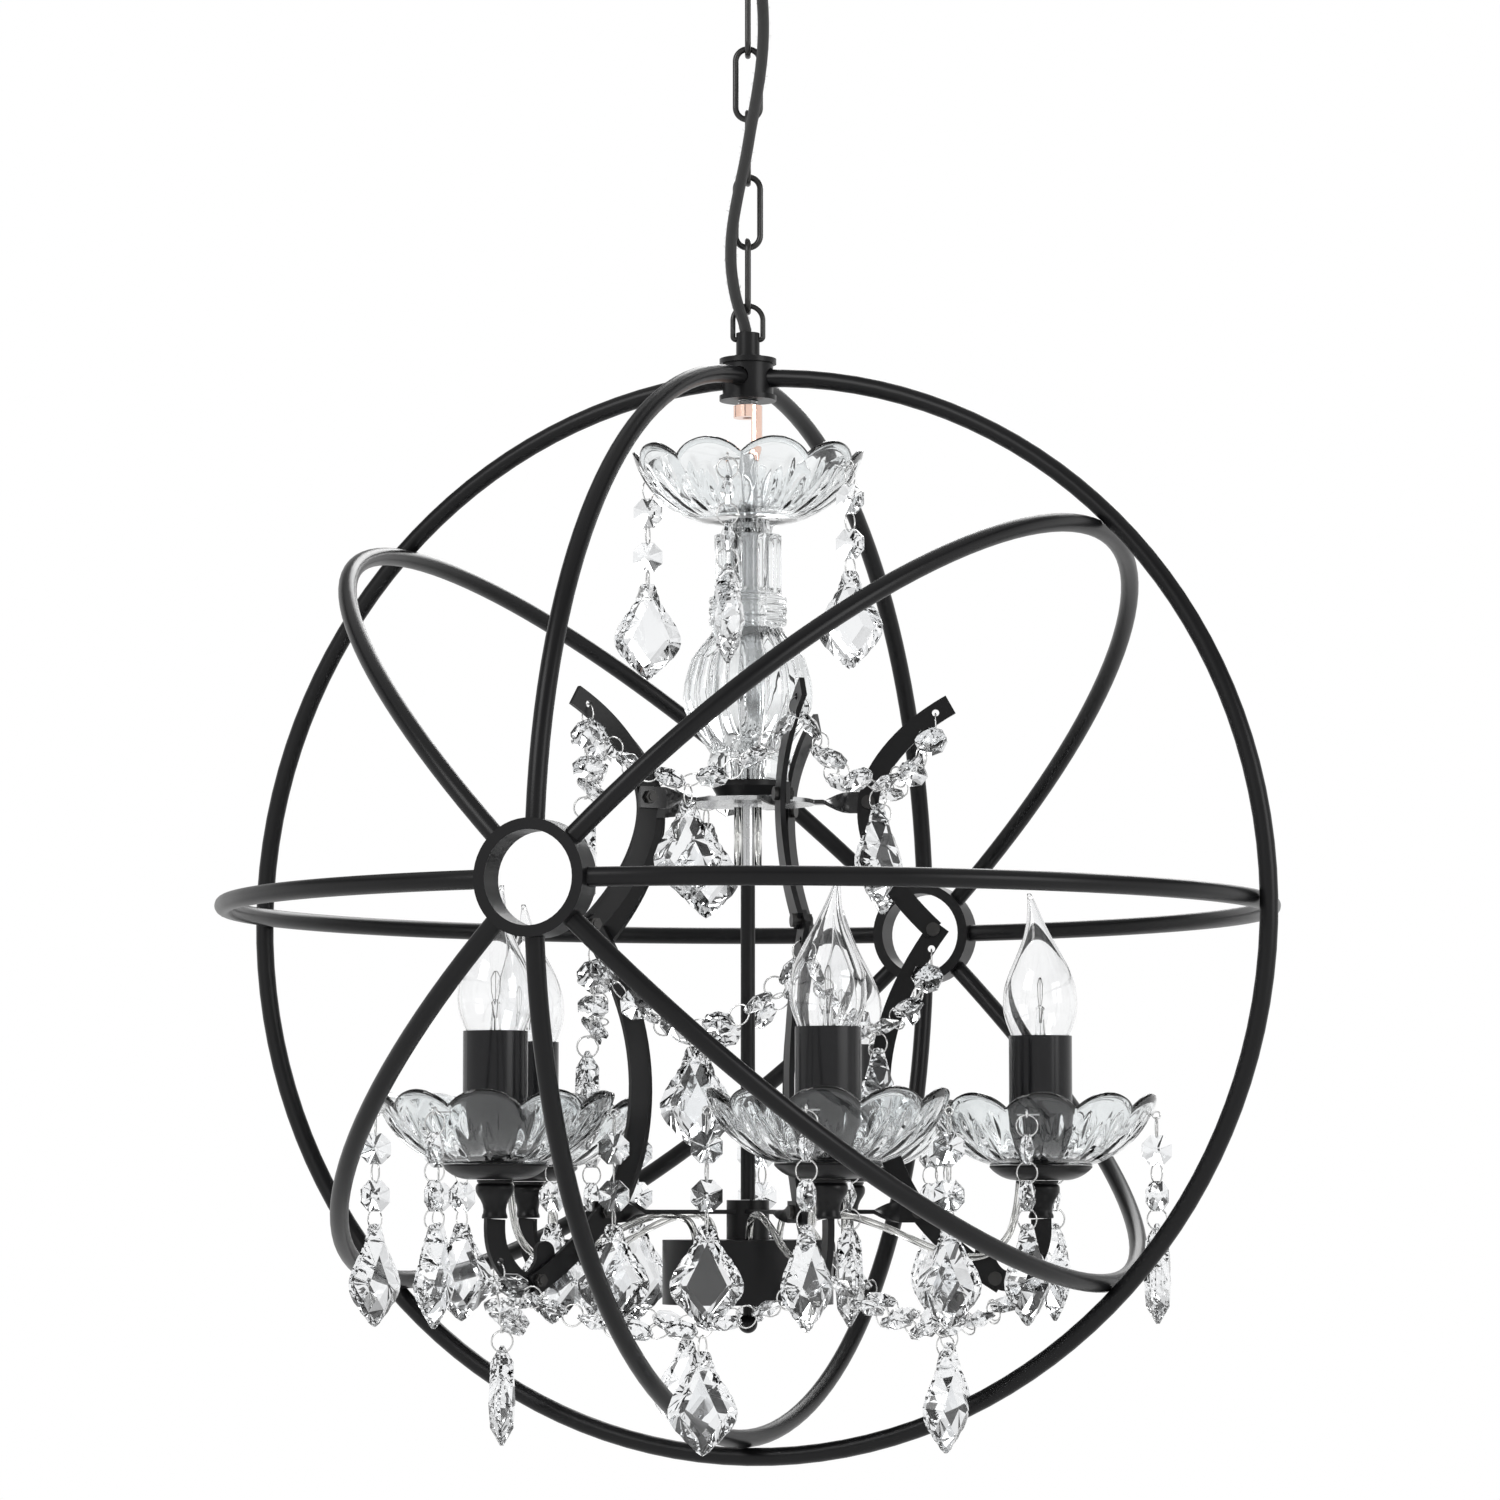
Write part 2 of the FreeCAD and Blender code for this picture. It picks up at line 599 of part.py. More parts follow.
canopy_r = half("canopy_diameter")
canopy_h = size("canopy_height")
shank_hole = add(half("loop_bore"), size("canopy_wall"), size("seat_gap"))
canopy = turned("canopy", less(size("orb_drop"), canopy_h), [
    (shank_hole, 0.0), (less(canopy_r, size("canopy_bend")), 0.0), (canopy_r, size("canopy_bend")),
    (canopy_r, canopy_h), (less(canopy_r, size("canopy_wall")), canopy_h),
    (less(canopy_r, size("canopy_wall")), size("canopy_bend")),
    (less(canopy_r, size("canopy_bend")), size("canopy_wall")), (shank_hole, size("canopy_wall"))])
screw_height = less(canopy_h, half("bar_ear"), half("bar_thickness"))
screw_eye = add(size("side_screw"), size("seat_gap"), size("seat_gap"))
pocket(canopy, circles(canopy, "YZ_Plane", [(0.0, screw_height, screw_eye)]))

bar = start_body("ceiling_plate")
ear_low = times(size("bar_ear"), -1.0)
ear_out = half("bar_length")
ear_in = less(ear_out, size("bar_thickness"))
plate_low = times(size("bar_thickness"), -1.0)
bar_shape = outline(bar, "XZ_Plane", [
    (times(ear_out, -1.0), ear_low), (times(ear_in, -1.0), ear_low), (times(ear_in, -1.0), plate_low),
    (ear_in, plate_low), (ear_in, ear_low), (ear_out, ear_low), (ear_out, 0.0),
    (times(ear_out, -1.0), 0.0)])
pad = bar.newObject("PartDesign::Pad", "bar_pad")
pad.Profile = bar_shape
pad.Midplane = True
pad.Length = float(size("bar_width"))
pad.setExpression("Length", "sizes.bar_width")
hole_place = half("bar_slot_spacing")
pocket(bar, circles(bar, "XY_Plane", [
    (hole_place, 0.0, size("bar_hole")), (times(hole_place, -1.0), 0.0, size("bar_hole"))]))
ear_hole_level = times(less(canopy_h, screw_height), -1.0)
pocket(bar, circles(bar, "YZ_Plane", [(0.0, ear_hole_level, screw_eye)]))

block = start_body("terminal_block")
block_x, block_y = half("block_length"), half("block_width")
left, front = times(block_x, -1.0), times(block_y, -1.0)
pad = block.newObject("PartDesign::Pad", "block_pad")
pad.Profile = outline(block, "XY_Plane", [
    (left, front), (block_x, front), (block_x, block_y), (left, block_y)])
pad.Length = float(size("block_height"))
pad.setExpression("Length", "sizes.block_height")
hang(block, less(size("orb_drop"), size("bar_thickness"), size("block_height")))


def side_screw(side):
    """A round-headed screw through the canopy's wall into an ear of the ceiling plate."""
    level = -(canopy_h - screw_height)
    head = size("canopy_diameter") / 2 + seat_gap
    inner = size("bar_length") / 2 - 2 * size("bar_thickness")
    height = size("side_screw") / 2
    shank = rod(V(side * inner, 0, level), V(side * (head + seat_gap), 0, level), size("side_screw"))
    cap = rod(V(side * head, 0, level), V(side * (head + height), 0, level), size("side_screw_head"))
    return shank.fuse(cap)


feature("canopy_screws", loose([side_screw(-1), side_screw(1)]), hung=False)

cord_end = size("orb_drop") - size("bar_thickness") - size("block_height") - soft_gap
CORD_ROUTE = [
    V(0, -0.2, collar_base + size("collar_floor") + soft_gap), V(-0.9, -1.1, 276), V(-4.2, -4.8, 284),
    V(-6.6, -6.2, 293), V(-8.3, -6.8, 306), V(-7.8, -7.4, 321), V(-4.8, -9.6, 338), V(-1, -11.8, 355),
    V(1.4, -11.8, 370), V(4.3, -9.6, 386), V(6.8, -6.6, 404), V(7.6, -5, 421), V(6.6, -5.6, 438),
    V(4.6, -4.4, 452), V(2.6, -1.4, 466), V(1.6, 0, 477.5), V(1.2, 0.4, cord_end)]


def cord():
    tube_shape, path, radii = bent_tube(CORD_ROUTE, size("cord_diameter"))
    section = math.pi * size("cord_diameter") ** 2 / 4
    print("power cord: length", round(path.Length, 1), "radii", [round(r, 1) for r in radii])
    if abs(tube_shape.Volume - section * path.Length) > 0.01 * tube_shape.Volume:
        raise ValueError("the cord's tube has the wrong volume")
    return tube_shape


feature("power_cord", cord(), turn=size("view_turn"))

# ---------------------------------------------------------------- central column
rod_r = half("rod_diameter")
rod_bore_r = half("rod_bore")
thin_r = half("thin_rod")
rod_h = less(size("rod_top"), size("rod_low"))
step_h = less(size("rod_step"), size("rod_low"))
turned("center_rod", size("rod_low"), [
    (0.0, 0.0), (thin_r, 0.0), (thin_r, step_h), (rod_r, step_h), (rod_r, rod_h), (rod_bore_r, rod_h),
    (rod_bore_r, add(step_h, size("rod_bore"))), (0.0, add(step_h, size("rod_bore")))])

stem_h = less(size("rod_low"), size("lower_hub_top"), size("seat_gap"), size("seat_gap"))
turned("lower_stem", add(size("lower_hub_top"), size("seat_gap")), [
    (0.0, 0.0), (half("stem_diameter"), 0.0), (half("stem_diameter"), stem_h), (0.0, stem_h)])

def glass_column():
    """A foot, a swelling urn, a ring, a straight ribbed neck and a collar, bored for the rod."""
    low, top = float(size("column_low")), size("dish_top_base") - seat_gap
    bore, foot, urn = size("column_bore") / 2, size("column_foot") / 2, size("column_urn") / 2
    ring, neck = size("column_ring") / 2, size("column_ribbed") / 2
    collar_out = size("column_collar") / 2
    foot_high = low + size("column_foot_top")
    urn_low = low + size("column_urn_low")
    ring_low = low + size("column_ring_low")
    ring_high = low + size("column_ring_top")
    neck_high = low + size("column_neck_top")
    bevel = (ring - neck) / 2
    shape = lathe(
        *joined([(bore, low), (foot, low), (foot, foot_high), (foot - bevel, urn_low)]),
        [(foot - bevel, urn_low), (size("column_waist") / 2, low + size("column_waist_level")),
         (urn, low + size("column_urn_level")),
         (size("column_shoulder") / 2, low + size("column_shoulder_level")), (neck, ring_low)],
        *joined([(neck, ring_low), (ring, ring_low + bevel), (ring, ring_high - bevel),
                 (neck, ring_high), (neck, neck_high), (collar_out, neck_high + bevel),
                 (collar_out, top), (bore, top), (bore, low)]))
    height = neck_high - ring_high - 4 * bevel
    foot_of_groove = V(neck + size("flute_offset"), 0, ring_high + 2 * bevel)
    groove = Part.makeCylinder(size("flute_width") / 2, height, foot_of_groove)
    flutes = count("flute_count")
    grooves = [groove.rotated(V(0, 0, 0), Z_AXIS, 360 / flutes * k) for k in range(flutes)]
    return shape.cut(Part.makeCompound(grooves))


feature("glass_column", glass_column())

spider_top = add(size("spider_level"), size("spider_thickness"))
cup_h = less(size("column_low"), spider_top, size("seat_gap"), size("seat_gap"))
cup_r = half("cup_diameter")
cup_bore = half("column_bore")
turned("column_cup", add(spider_top, size("seat_gap")), [
    (cup_bore, 0.0), (half("cup_foot"), 0.0), (cup_r, times(cup_h, 0.7)), (cup_r, cup_h),
    (cup_bore, cup_h)])


def radial_bar(start, bolt, level, layer):
    """A flat bar out along +X whose end is twisted upright into a paddle in the given layer."""
    flat, thick = float(size("bar_flat")), float(size("paddle_thickness"))
    paddle = float(size("paddle_width"))
    turning = float(size("paddle_turn"))
    end = bolt + paddle / 2
    blade_start = end - size("paddle_length")
    twist = blade_start - turning
    straight = Part.makeBox(twist - start, flat, thick, V(start, -flat / 2, level - thick / 2))
    wires = []
    for share in (0, 0.25, 0.5, 0.75, 1):
        middle = V(twist + turning * share, (layer + thick / 2) * share, level)
        lean = math.pi / 2 * share
        wide = V(0, math.cos(lean), math.sin(lean)) * ((flat + (paddle - flat) * share) / 2)
        deep = V(0, -math.sin(lean), math.cos(lean)) * (thick / 2)
        corners = [middle + wide + deep, middle - wide + deep, middle - wide - deep, middle + wide - deep]
        wires.append(Part.makePolygon(corners + corners[:1]))
    turned_part = Part.makeLoft(wires, True, True)
    blade = Part.makeBox(size("paddle_length"), thick, paddle, V(blade_start, layer, level - paddle / 2))
    eye = rod(V(bolt, layer - thick, level), V(bolt, layer + 2 * thick, level), size("bolt_hole"))
    return straight.fuse([turned_part, blade]).removeSplitter().cut(eye)


# ---------------------------------------------------------------- scrolls, struts and body
strip_width = float(size("scroll_width"))
strip_thick = float(size("scroll_thickness"))
plate_gap = float(size("plate_gap"))
arm_layer = -size("arm_thickness") / 2
lower_layer = size("arm_thickness") / 2 + plate_gap
upper_layer = lower_layer - plate_gap - strip_thick
strut_layer = lower_layer - plate_gap - size("paddle_thickness")

# the plates' middle lines, as (distance from the axis, level)
UPPER_SCROLL = [
    (95.6, 96), (80, 85.5), (67.5, 73), (59, 59), (56.3, 45), (59.5, 28.5), (70, 9), (87.5, -10.5)]
LOWER_SCROLL = [
    (90.5, -8), (77, -29), (67, -52), (62, -90), (76, -136), (95, -158), (118.5, -175.5)]
ARM_CURVE = [
    (137, -145.2), (137.1, -149), (136.4, -156), (131, -167), (120, -174), (112.5, -168), (111, -160)]
joint_bolt = V(87, 0, -10)
arm_bolt = V(115.4, 0, -173)
upper_bolt = level_of(UPPER_SCROLL[2:6], size("spider_level") + size("spider_thickness") / 2)
strut_bolt = level_of(LOWER_SCROLL[2:6], size("strut_level"))
HOOKS = {
    "upper": (V(88.5, 0, 92), upper_layer, strip_thick),
    "middle": (V(86.2, 0, -19), lower_layer, strip_thick),
    "lower": (V(134.6, 0, -164.5), arm_layer, float(size("arm_thickness")))}


def upper_spider():
    """A disc on the rod with one bar to each upper scroll."""
    disc_radius = size("spider_disc") / 2
    middle = size("spider_level") + size("spider_thickness") / 2
    disc = Part.makeCylinder(disc_radius, size("spider_thickness"), V(0, 0, size("spider_level")))
    spoke = radial_bar(disc_radius - size("bar_flat") / 2, upper_bolt.x, middle, lower_layer)
    bore = Part.makeCylinder(rod_r + seat_gap, disc_radius, V(0, 0, size("spider_level") - disc_radius / 2))
    return disc.fuse(around(spoke, ARM_ANGLES).Solids).cut(bore)


def holes(places, width):
    return [rod(place + V(0, -20, 0), place + V(0, 20, 0), width) for place in places]


def plate(points, low, thickness, bolts, hook, round_end=False):
    """A plate in the arm's plane with its bolt holes and its hook hole."""
    shape = strip(points, strip_width, low, thickness, round_end)
    return shape.cut(holes(bolts, size("bolt_hole")) + holes([hook], size("hook_hole")))


upper = plate(UPPER_SCROLL, upper_layer, strip_thick, [upper_bolt, joint_bolt], HOOKS["upper"][0])
lower_bolts = [joint_bolt, strut_bolt, arm_bolt]
lower = plate(LOWER_SCROLL, lower_layer, strip_thick, lower_bolts, HOOKS["middle"][0])
arm_thick = float(size("arm_thickness"))
arm = plate(ARM_CURVE, arm_layer, arm_thick, [arm_bolt], HOOKS["lower"][0], round_end=True)
feature("upper_spider", upper_spider())
feature("upper_scrolls", around(upper, ARM_ANGLES))
feature("lower_scrolls", around(lower, ARM_ANGLES))
feature("candle_arms", around(arm, ARM_ANGLES))


def bolt_and_nut(place, low, high):
    """A round-headed screw from below in Y, with a hexagonal nut above."""
    head = float(size("bolt_head_height"))
    start, end = place + V(0, low - seat_gap, 0), place + V(0, high + seat_gap, 0)
    shank = rod(start, end + V(0, 1.3 * head, 0), size("bolt_diameter"))
    cap = rod(start - V(0, head, 0), start, size("bolt_head"))
    across = size("bolt_head") / 2
    corners = [end + V(across * math.cos(math.pi / 3 * k), 0, across * math.sin(math.pi / 3 * k))
               for k in range(7)]
    nut = Part.Face(Part.makePolygon(corners)).extrude(V(0, head, 0))
    thread = rod(start, end + V(0, 2 * head, 0), size("bolt_diameter") + seat_gap)
    return [shank.fuse(cap).removeSplitter(), nut.cut(thread)]


bolt_sets = [
    (upper_bolt, upper_layer, lower_layer + size("paddle_thickness")),
    (joint_bolt, upper_layer, lower_layer + strip_thick),
    (strut_bolt, strut_layer, lower_layer + strip_thick),
    (arm_bolt, arm_layer, lower_layer + strip_thick)]
fixings = loose([piece for place, low, high in bolt_sets for piece in bolt_and_nut(place, low, high)])
feature("scroll_screws", loose([around(fixings, ARM_ANGLES)]))


def lower_hub():
    """A boss on the wiring body with one strut to each lower scroll."""
    radius = size("lower_hub_diameter") / 2
    base = size("body_top") + seat_gap
    boss = Part.makeCylinder(radius, size("lower_hub_top") - base, V(0, 0, base))
    strut = radial_bar(radius / 2, strut_bolt.x, float(size("strut_level")), strut_layer)
    return boss.fuse([strut.rotated(V(0, 0, 0), Z_AXIS, a) for a in ARM_ANGLES])


feature("lower_hub", lower_hub())


body_out = half("body_diameter")
body_in = less(body_out, size("body_wall"))
can_h = size("body_height")
turned("wiring_body", less(size("body_top"), can_h), [
    (0.0, less(can_h, size("body_wall"))), (body_in, less(can_h, size("body_wall"))), (body_in, 0.0),
    (body_out, 0.0), (body_out, can_h), (0.0, can_h)])


def bottom_finial():
    """The wiring body's bottom cover with a short neck and a ball."""
    low = size("body_top") - size("body_height")
    ball = size("finial_diameter") / 2
    lid = Part.makeCylinder(body_in - seat_gap, size("body_wall"), V(0, 0, low))
    middle = V(0, 0, low - size("finial_drop"))
    neck = Part.makeCylinder(ball / 2, size("finial_drop"), middle)
    return lid.fuse([neck, Part.makeSphere(ball, middle)])


feature("bottom_finial", bottom_finial())

# ---------------------------------------------------------------- candles
candle_r = size("candle_radius")
neck_h = size("neck_height")
neck_low_r = half("neck_waist")
neck_high_r = half("neck_width")
turned("candle_necks", less(size("neck_top"), neck_h), [
    (rod_bore_r, 0.0), (neck_low_r, 0.0), (times(neck_low_r, 0.92), times(neck_h, 0.35)),
    (neck_high_r, times(neck_h, 0.72)), (neck_high_r, times(neck_h, 0.9)),
    (times(neck_high_r, 0.92), neck_h), (rod_bore_r, neck_h)], radius=candle_r)

pan_low = size("neck_top") + seat_gap
pan_top = size("neck_top") + size("pan_height")
dish_base = float(size("dish_base"))


def drip_pan():
    """A shallow round pan under a glass dish, bored for the wires."""
    rim, flat = size("pan_diameter") / 2, size("neck_width") / 2 + size("lead_diameter")
    lip = pan_top - size("paddle_thickness") / 2
    return lathe(
        [(rod_bore_r, pan_low), (flat, pan_low)],
        [(flat, pan_low), ((flat + rim) / 2 + 1, pan_low + (lip - pan_low) / 3), (rim, lip)],
        *joined([(rim, lip), (rim, pan_top), (rod_bore_r, pan_top), (rod_bore_r, pan_low)]))


def on_arms(shape):
    """Copies of a shape modelled on its own upright axis, moved out to every candle."""
    return around(shape.translated(V(candle_r, 0, 0)), ARM_ANGLES)


feature("drip_pans", on_arms(drip_pan()))

dish_circle = Part.Circle(
    V(size("dish_foot") / 2, 0, 0), V(size("dish_belly") / 2, 0, size("dish_belly_level")),
    V(size("dish_diameter") / 2, 0, size("dish_height")))


def dish_reach(height, inset=0.0):
    """The dish's radius at a height, on its outer face or that far inside it."""
    bend = dish_circle.Radius - inset
    return dish_circle.Center.x + math.sqrt(bend ** 2 - (height - dish_circle.Center.z) ** 2)


def glass_dish(pins):
    """A round glass bowl with a rim of rounded lobes and small holes for the crystals' pins."""
    wall, height = float(size("dish_wall")), float(size("dish_height"))
    hole = size("dish_hole") / 2
    outer = [(dish_reach(h), h) for h in (0.0, height / 2, height)]
    inner = [(dish_reach(h, wall), h) for h in (height, height / 2, wall)]
    bowl = lathe([(hole, 0.0), outer[0]], outer, [outer[2], inner[0]], inner, [inner[2], (hole, wall)],
                 [(hole, wall), (hole, 0.0)])
    half_lobe = size("dish_diameter") / 2 * math.tan(math.pi / count("lobe_count"))
    dip = float(size("dish_lobe"))
    lobe_bend = (half_lobe ** 2 + dip ** 2) / (2 * dip)
    share = half_lobe / 2
    sag = dip - lobe_bend + math.sqrt(lobe_bend ** 2 - (half_lobe - share) ** 2)
    low, edge_top = height - dip, height + seat_gap
    near = size("dish_foot") / 2
    edges = [
        Part.Arc(V(near, 0, low), V(near, share, low + sag), V(near, half_lobe, edge_top)).toShape(),
        Part.LineSegment(V(near, half_lobe, edge_top), V(near, half_lobe, edge_top + dip)).toShape(),
        Part.LineSegment(V(near, half_lobe, edge_top + dip), V(near, -half_lobe, edge_top + dip)).toShape(),
        Part.LineSegment(V(near, -half_lobe, edge_top + dip), V(near, -half_lobe, edge_top)).toShape(),
        Part.Arc(V(near, -half_lobe, edge_top), V(near, -share, low + sag), V(near, 0, low)).toShape()]
    notch = Part.Face(Part.Wire(edges)).extrude(V(size("dish_diameter") / 2, 0, 0))
    step = 360 / count("lobe_count")
    cutters = [notch.rotated(V(0, 0, 0), Z_AXIS, step * k) for k in range(count("lobe_count"))]
    eye = rod(V(near, 0, size("pin_height")), V(3 * near, 0, size("pin_height")), 1.5 * size("pin_wire"))
    cutters += [eye.rotated(V(0, 0, 0), Z_AXIS, angle) for angle, turn in pins]
    return bowl.cut(Part.makeCompound(cutters))


# Each dish's pins: the angle from its arm, and the turn of the drop that hangs there. A turn of
# 0 shows the drop's edge from outside, and 90 its face, which clears a hoop close by. The first
# two pins hold one swinging pair of pendants, and the last two the other.
VIEW = float(size("view_turn"))
TOP_PINS = [(VIEW - 28, 0), (VIEW + 152, 45), (VIEW + 80, -15), (VIEW + 260, 30)]
ARM_PINS = [
    [(-26, -30), (154, 15), (82, -45), (262, 0)],
    [(-6.7, 90), (149.3, -15), (83, 30), (263, -30)],
    [(-30, 15), (150, -45), (82, 0), (262, 45)],
    [(5.3, 90), (209.3, 30), (96, -30), (276, 15)],
    [(-150, -45), (30, 0), (-27, 45), (153, -15)]]
ARMS = [(angle, ARM_PINS[k % len(ARM_PINS)]) for k, angle in enumerate(ARM_ANGLES)]
feature("top_dish", glass_dish(TOP_PINS).translated(V(0, 0, size("dish_top_base"))))
dishes = [glass_dish(pins).translated(V(candle_r, 0, dish_base)).rotated(V(0, 0, 0), Z_AXIS, angle)
          for angle, pins in ARMS]
feature("candle_dishes", loose(dishes))

sleeve_base = add(size("dish_base"), size("dish_wall"), size("seat_gap"))
sleeve_h = less(size("sleeve_top"), sleeve_base)
sleeve_r = half("sleeve_diameter")
turned("candle_sleeves", sleeve_base, [
    (less(sleeve_r, size("sleeve_wall")), 0.0), (sleeve_r, 0.0), (sleeve_r, sleeve_h),
    (less(sleeve_r, size("sleeve_wall")), sleeve_h)], radius=candle_r)

glass_low = less(size("sleeve_top"), size("bulb_sink"))
cap_low = less(glass_low, size("cap_height"))
nipple_low = add(size("neck_top"), size("pan_height"), size("seat_gap"))
shelf_h = less(cap_low, size("soft_gap"), nipple_low)
floor_h = less(shelf_h, size("socket_floor"))
rim_h = less(glass_low, nipple_low, size("soft_gap"))
nipple_r = less(half("dish_hole"), times(size("seat_gap"), 4))
turned("lamp_sockets", nipple_low, [
    (rod_bore_r, 0.0), (nipple_r, 0.0), (nipple_r, floor_h), (half("socket_diameter"), floor_h),
    (half("socket_diameter"), rim_h), (half("socket_bore"), rim_h), (half("socket_bore"), shelf_h),
    (rod_bore_r, shelf_h)], radius=candle_r)

BULB_OUTLINE = [
    (7.6, -18), (11.3, -8), (13.4, 0), (16.6, 8), (17.5, 15), (16.2, 25), (10.5, 38), (5.2, 50),
    (2.4, 60), (0.8, 67)]
BEND_START = 28.0
BULB_SECTIONS = 18
BULB_LEANS = (0, 180, 120, 240, 60)


def bulb_shell(inset):
    """The flame-shaped glass, or the space inside it, from circles whose middles bend aside."""
    low, high = BULB_OUTLINE[0][1], BULB_OUTLINE[-1][1]
    tall = size("bulb_height") / high
    wide = size("bulb_diameter") / (2 * max(r for r, z in BULB_OUTLINE))
    wires = []
    for k in range(BULB_SECTIONS):
        height = low + (high - low) * k / (BULB_SECTIONS - 1)
        radius = BULB_OUTLINE[0][0] if k == 0 else BULB_OUTLINE[-1][0]
        if 0 < k < BULB_SECTIONS - 1:
            radius = level_of(BULB_OUTLINE, height).x
        radius = radius * wide - inset
        if radius > inset:
            share = max(0.0, (height - BEND_START) / (high - BEND_START))
            middle = V(size("bulb_bend") * share ** 2, 0, height * (tall if height > 0 else 1))
            if inset and k == 0:
                middle.z += inset
            wires.append(Part.Wire([Part.Circle(middle, Z_AXIS, radius).toShape()]))
    return Part.makeLoft(wires, True, False)


def bulb(number):
    """A flame-shaped bulb with its screw cap."""
    wall = float(size("glass_wall"))
    lean = VIEW + BULB_LEANS[number % len(BULB_LEANS)]
    glass = bulb_shell(0.0).cut(bulb_shell(wall)).rotated(V(0, 0, 0), Z_AXIS, lean)
    glass = glass.translated(V(0, 0, size("sleeve_top")))
    cap = Part.makeCylinder(size("cap_diameter") / 2, size("cap_height"), V(0, 0, cap_low))
    tip = size("cap_diameter") / 5
    cap = cap.makeFillet(tip, [edge for edge in cap.Edges if abs(edge.BoundBox.ZMax - cap_low) < 0.01])
    pair = loose([glass, cap]).translated(V(candle_r, 0, 0))
    return pair.rotated(V(0, 0, 0), Z_AXIS, ARM_ANGLES[number])


for number in range(count("arm_count")):
    feature(f"bulb_{number + 1}", bulb(number))

# ---------------------------------------------------------------- wires
LEAD_ROUTE = [
    V(127, -3.6, pan_low - soft_gap), V(126, -3.8, -141), V(121, -4.6, -156), V(108, -5.4, -164.5),
    V(88, -6.2, -160), V(66, -6.6, -149.5), V(46, -6.6, -143), V(33, -6.4, -143.5), V(26, -6.3, -148),
    V(25, -6.2, size("body_top") + soft_gap)]


def arm_wires():
    """One clear lead from each drip pan to the wiring body, and two beside the thin rod."""
    lead, path, radii = bent_tube(LEAD_ROUTE, size("lead_diameter"))
    print("arm lead: length", round(path.Length, 1), "radii", [round(r, 1) for r in radii])
    place = thin_r + size("lead_diameter") / 2 + seat_gap
    low, high = size("rod_low") + seat_gap, size("rod_step") - seat_gap
    risers = [rod(V(side * place, 0, low), V(side * place, 0, high), size("lead_diameter"))
              for side in (-1, 1)]
    risers = [riser.rotated(V(0, 0, 0), Z_AXIS, VIEW) for riser in risers]
    return loose([around(lead, ARM_ANGLES)] + risers)


feature("arm_wires", arm_wires())

# ---------------------------------------------------------------- crystals
ring_r = float(size("ring_radius"))
ring_wire = float(size("ring_wire"))
# one side of a drop, as (half width, distance from its upper end), and its flat face's share
DROP_OUTLINE = [
    (2.2, 0), (4.2, 3.5), (5.5, 10), (12, 14.5), (16.5, 22), (13, 29), (8, 36), (3.5, 41.5), (0, 46)]
TABLE_SHARE = 0.42


def facets(sections, hole_places, along):
    """A cut crystal: a ruled loft through flat sections, with holes through its face."""
    cut = Part.makeLoft([Part.makePolygon(section + section[:1]) for section in sections], True, True)
    return cut.cut([rod(V(x, 0, -along), V(x, 0, along), size("bead_hole")) for x in hole_places])


def cut_bead():
    """An eight-sided bead in XY with a hole at each end of X."""
    sections = []
    for across, level in (("bead_table", -0.5), ("bead_size", 0), ("bead_size", 0), ("bead_table", 0.5)):
        height = level * size("bead_thickness")
        if across == "bead_size":
            height = size("bead_girdle") / 2 * (1 if len(sections) == 2 else -1)
        radius = size(across) / 2 / math.cos(math.pi / 8)
        angles = [math.pi / 8 + math.pi / 4 * k for k in range(8)]
        sections.append([V(radius * math.cos(a), radius * math.sin(a), height) for a in angles])
    reach = size("bead_holes") / 2
    return facets(sections, (-reach, reach), size("bead_thickness"))


def cut_drop():
    """A leaf-shaped drop in XY that hangs along +X from the hole at the origin."""
    longer = size("drop_length") / DROP_OUTLINE[-1][1]
    wider = size("drop_width") / (2 * max(x for x, y in DROP_OUTLINE))
    side = [(y * longer, x * wider) for x, y in DROP_OUTLINE]
    rim = side + [(y, -x) for y, x in reversed(side[:-1])]
    middle = size("drop_length") / 2
    sections = []
    for share, height in ((TABLE_SHARE, -size("drop_thickness") / 2), (1, -size("bead_girdle") / 2),
                          (1, size("bead_girdle") / 2), (TABLE_SHARE, size("drop_thickness") / 2)):
        spots = [(middle + (y - middle) * share, x * share) for y, x in rim]
        sections.append([V(y - size("drop_hole_inset"), x, height) for y, x in spots])
    return facets(sections, (0,), size("drop_thickness"))


BEAD = cut_bead()
DROP_GLASS = cut_drop()


def placed(shape, origin, along, normal):
    """A copy whose own X lies along a direction and whose face looks along the normal."""
    copy = shape.copy()
    turn = FreeCAD.Rotation(along, normal.cross(along), normal, "ZXY")
    copy.Placement = FreeCAD.Placement(origin, turn)
    return copy


def strand(top, outward, turn):
    """Rings and beads that lead down from a pin's loop, turning evenly, to a drop at the end."""
    bead_length = float(size("bead_holes"))

    def normal_at(place):
        share = place / (2 * count("strand_beads") + 1)
        return FreeCAD.Rotation(Z_AXIS, 90.0 + turn * share).multVec(outward)

    pieces, here = [], top
    for k in range(count("strand_beads") + 1):
        pieces.append(torus(here + DOWN * ring_r, Z_AXIS.cross(normal_at(2 * k)), ring_r, ring_wire))
        here = here + DOWN * (2 * ring_r)
        if k < count("strand_beads"):
            pieces.append(placed(BEAD, here + DOWN * (bead_length / 2), DOWN, normal_at(2 * k + 1)))
            here = here + DOWN * bead_length
    pieces.append(placed(DROP_GLASS, here, DOWN, normal_at(2 * k + 1)))
    return pieces


pin_reach = dish_reach(size("pin_height")) + size("pin_reach")


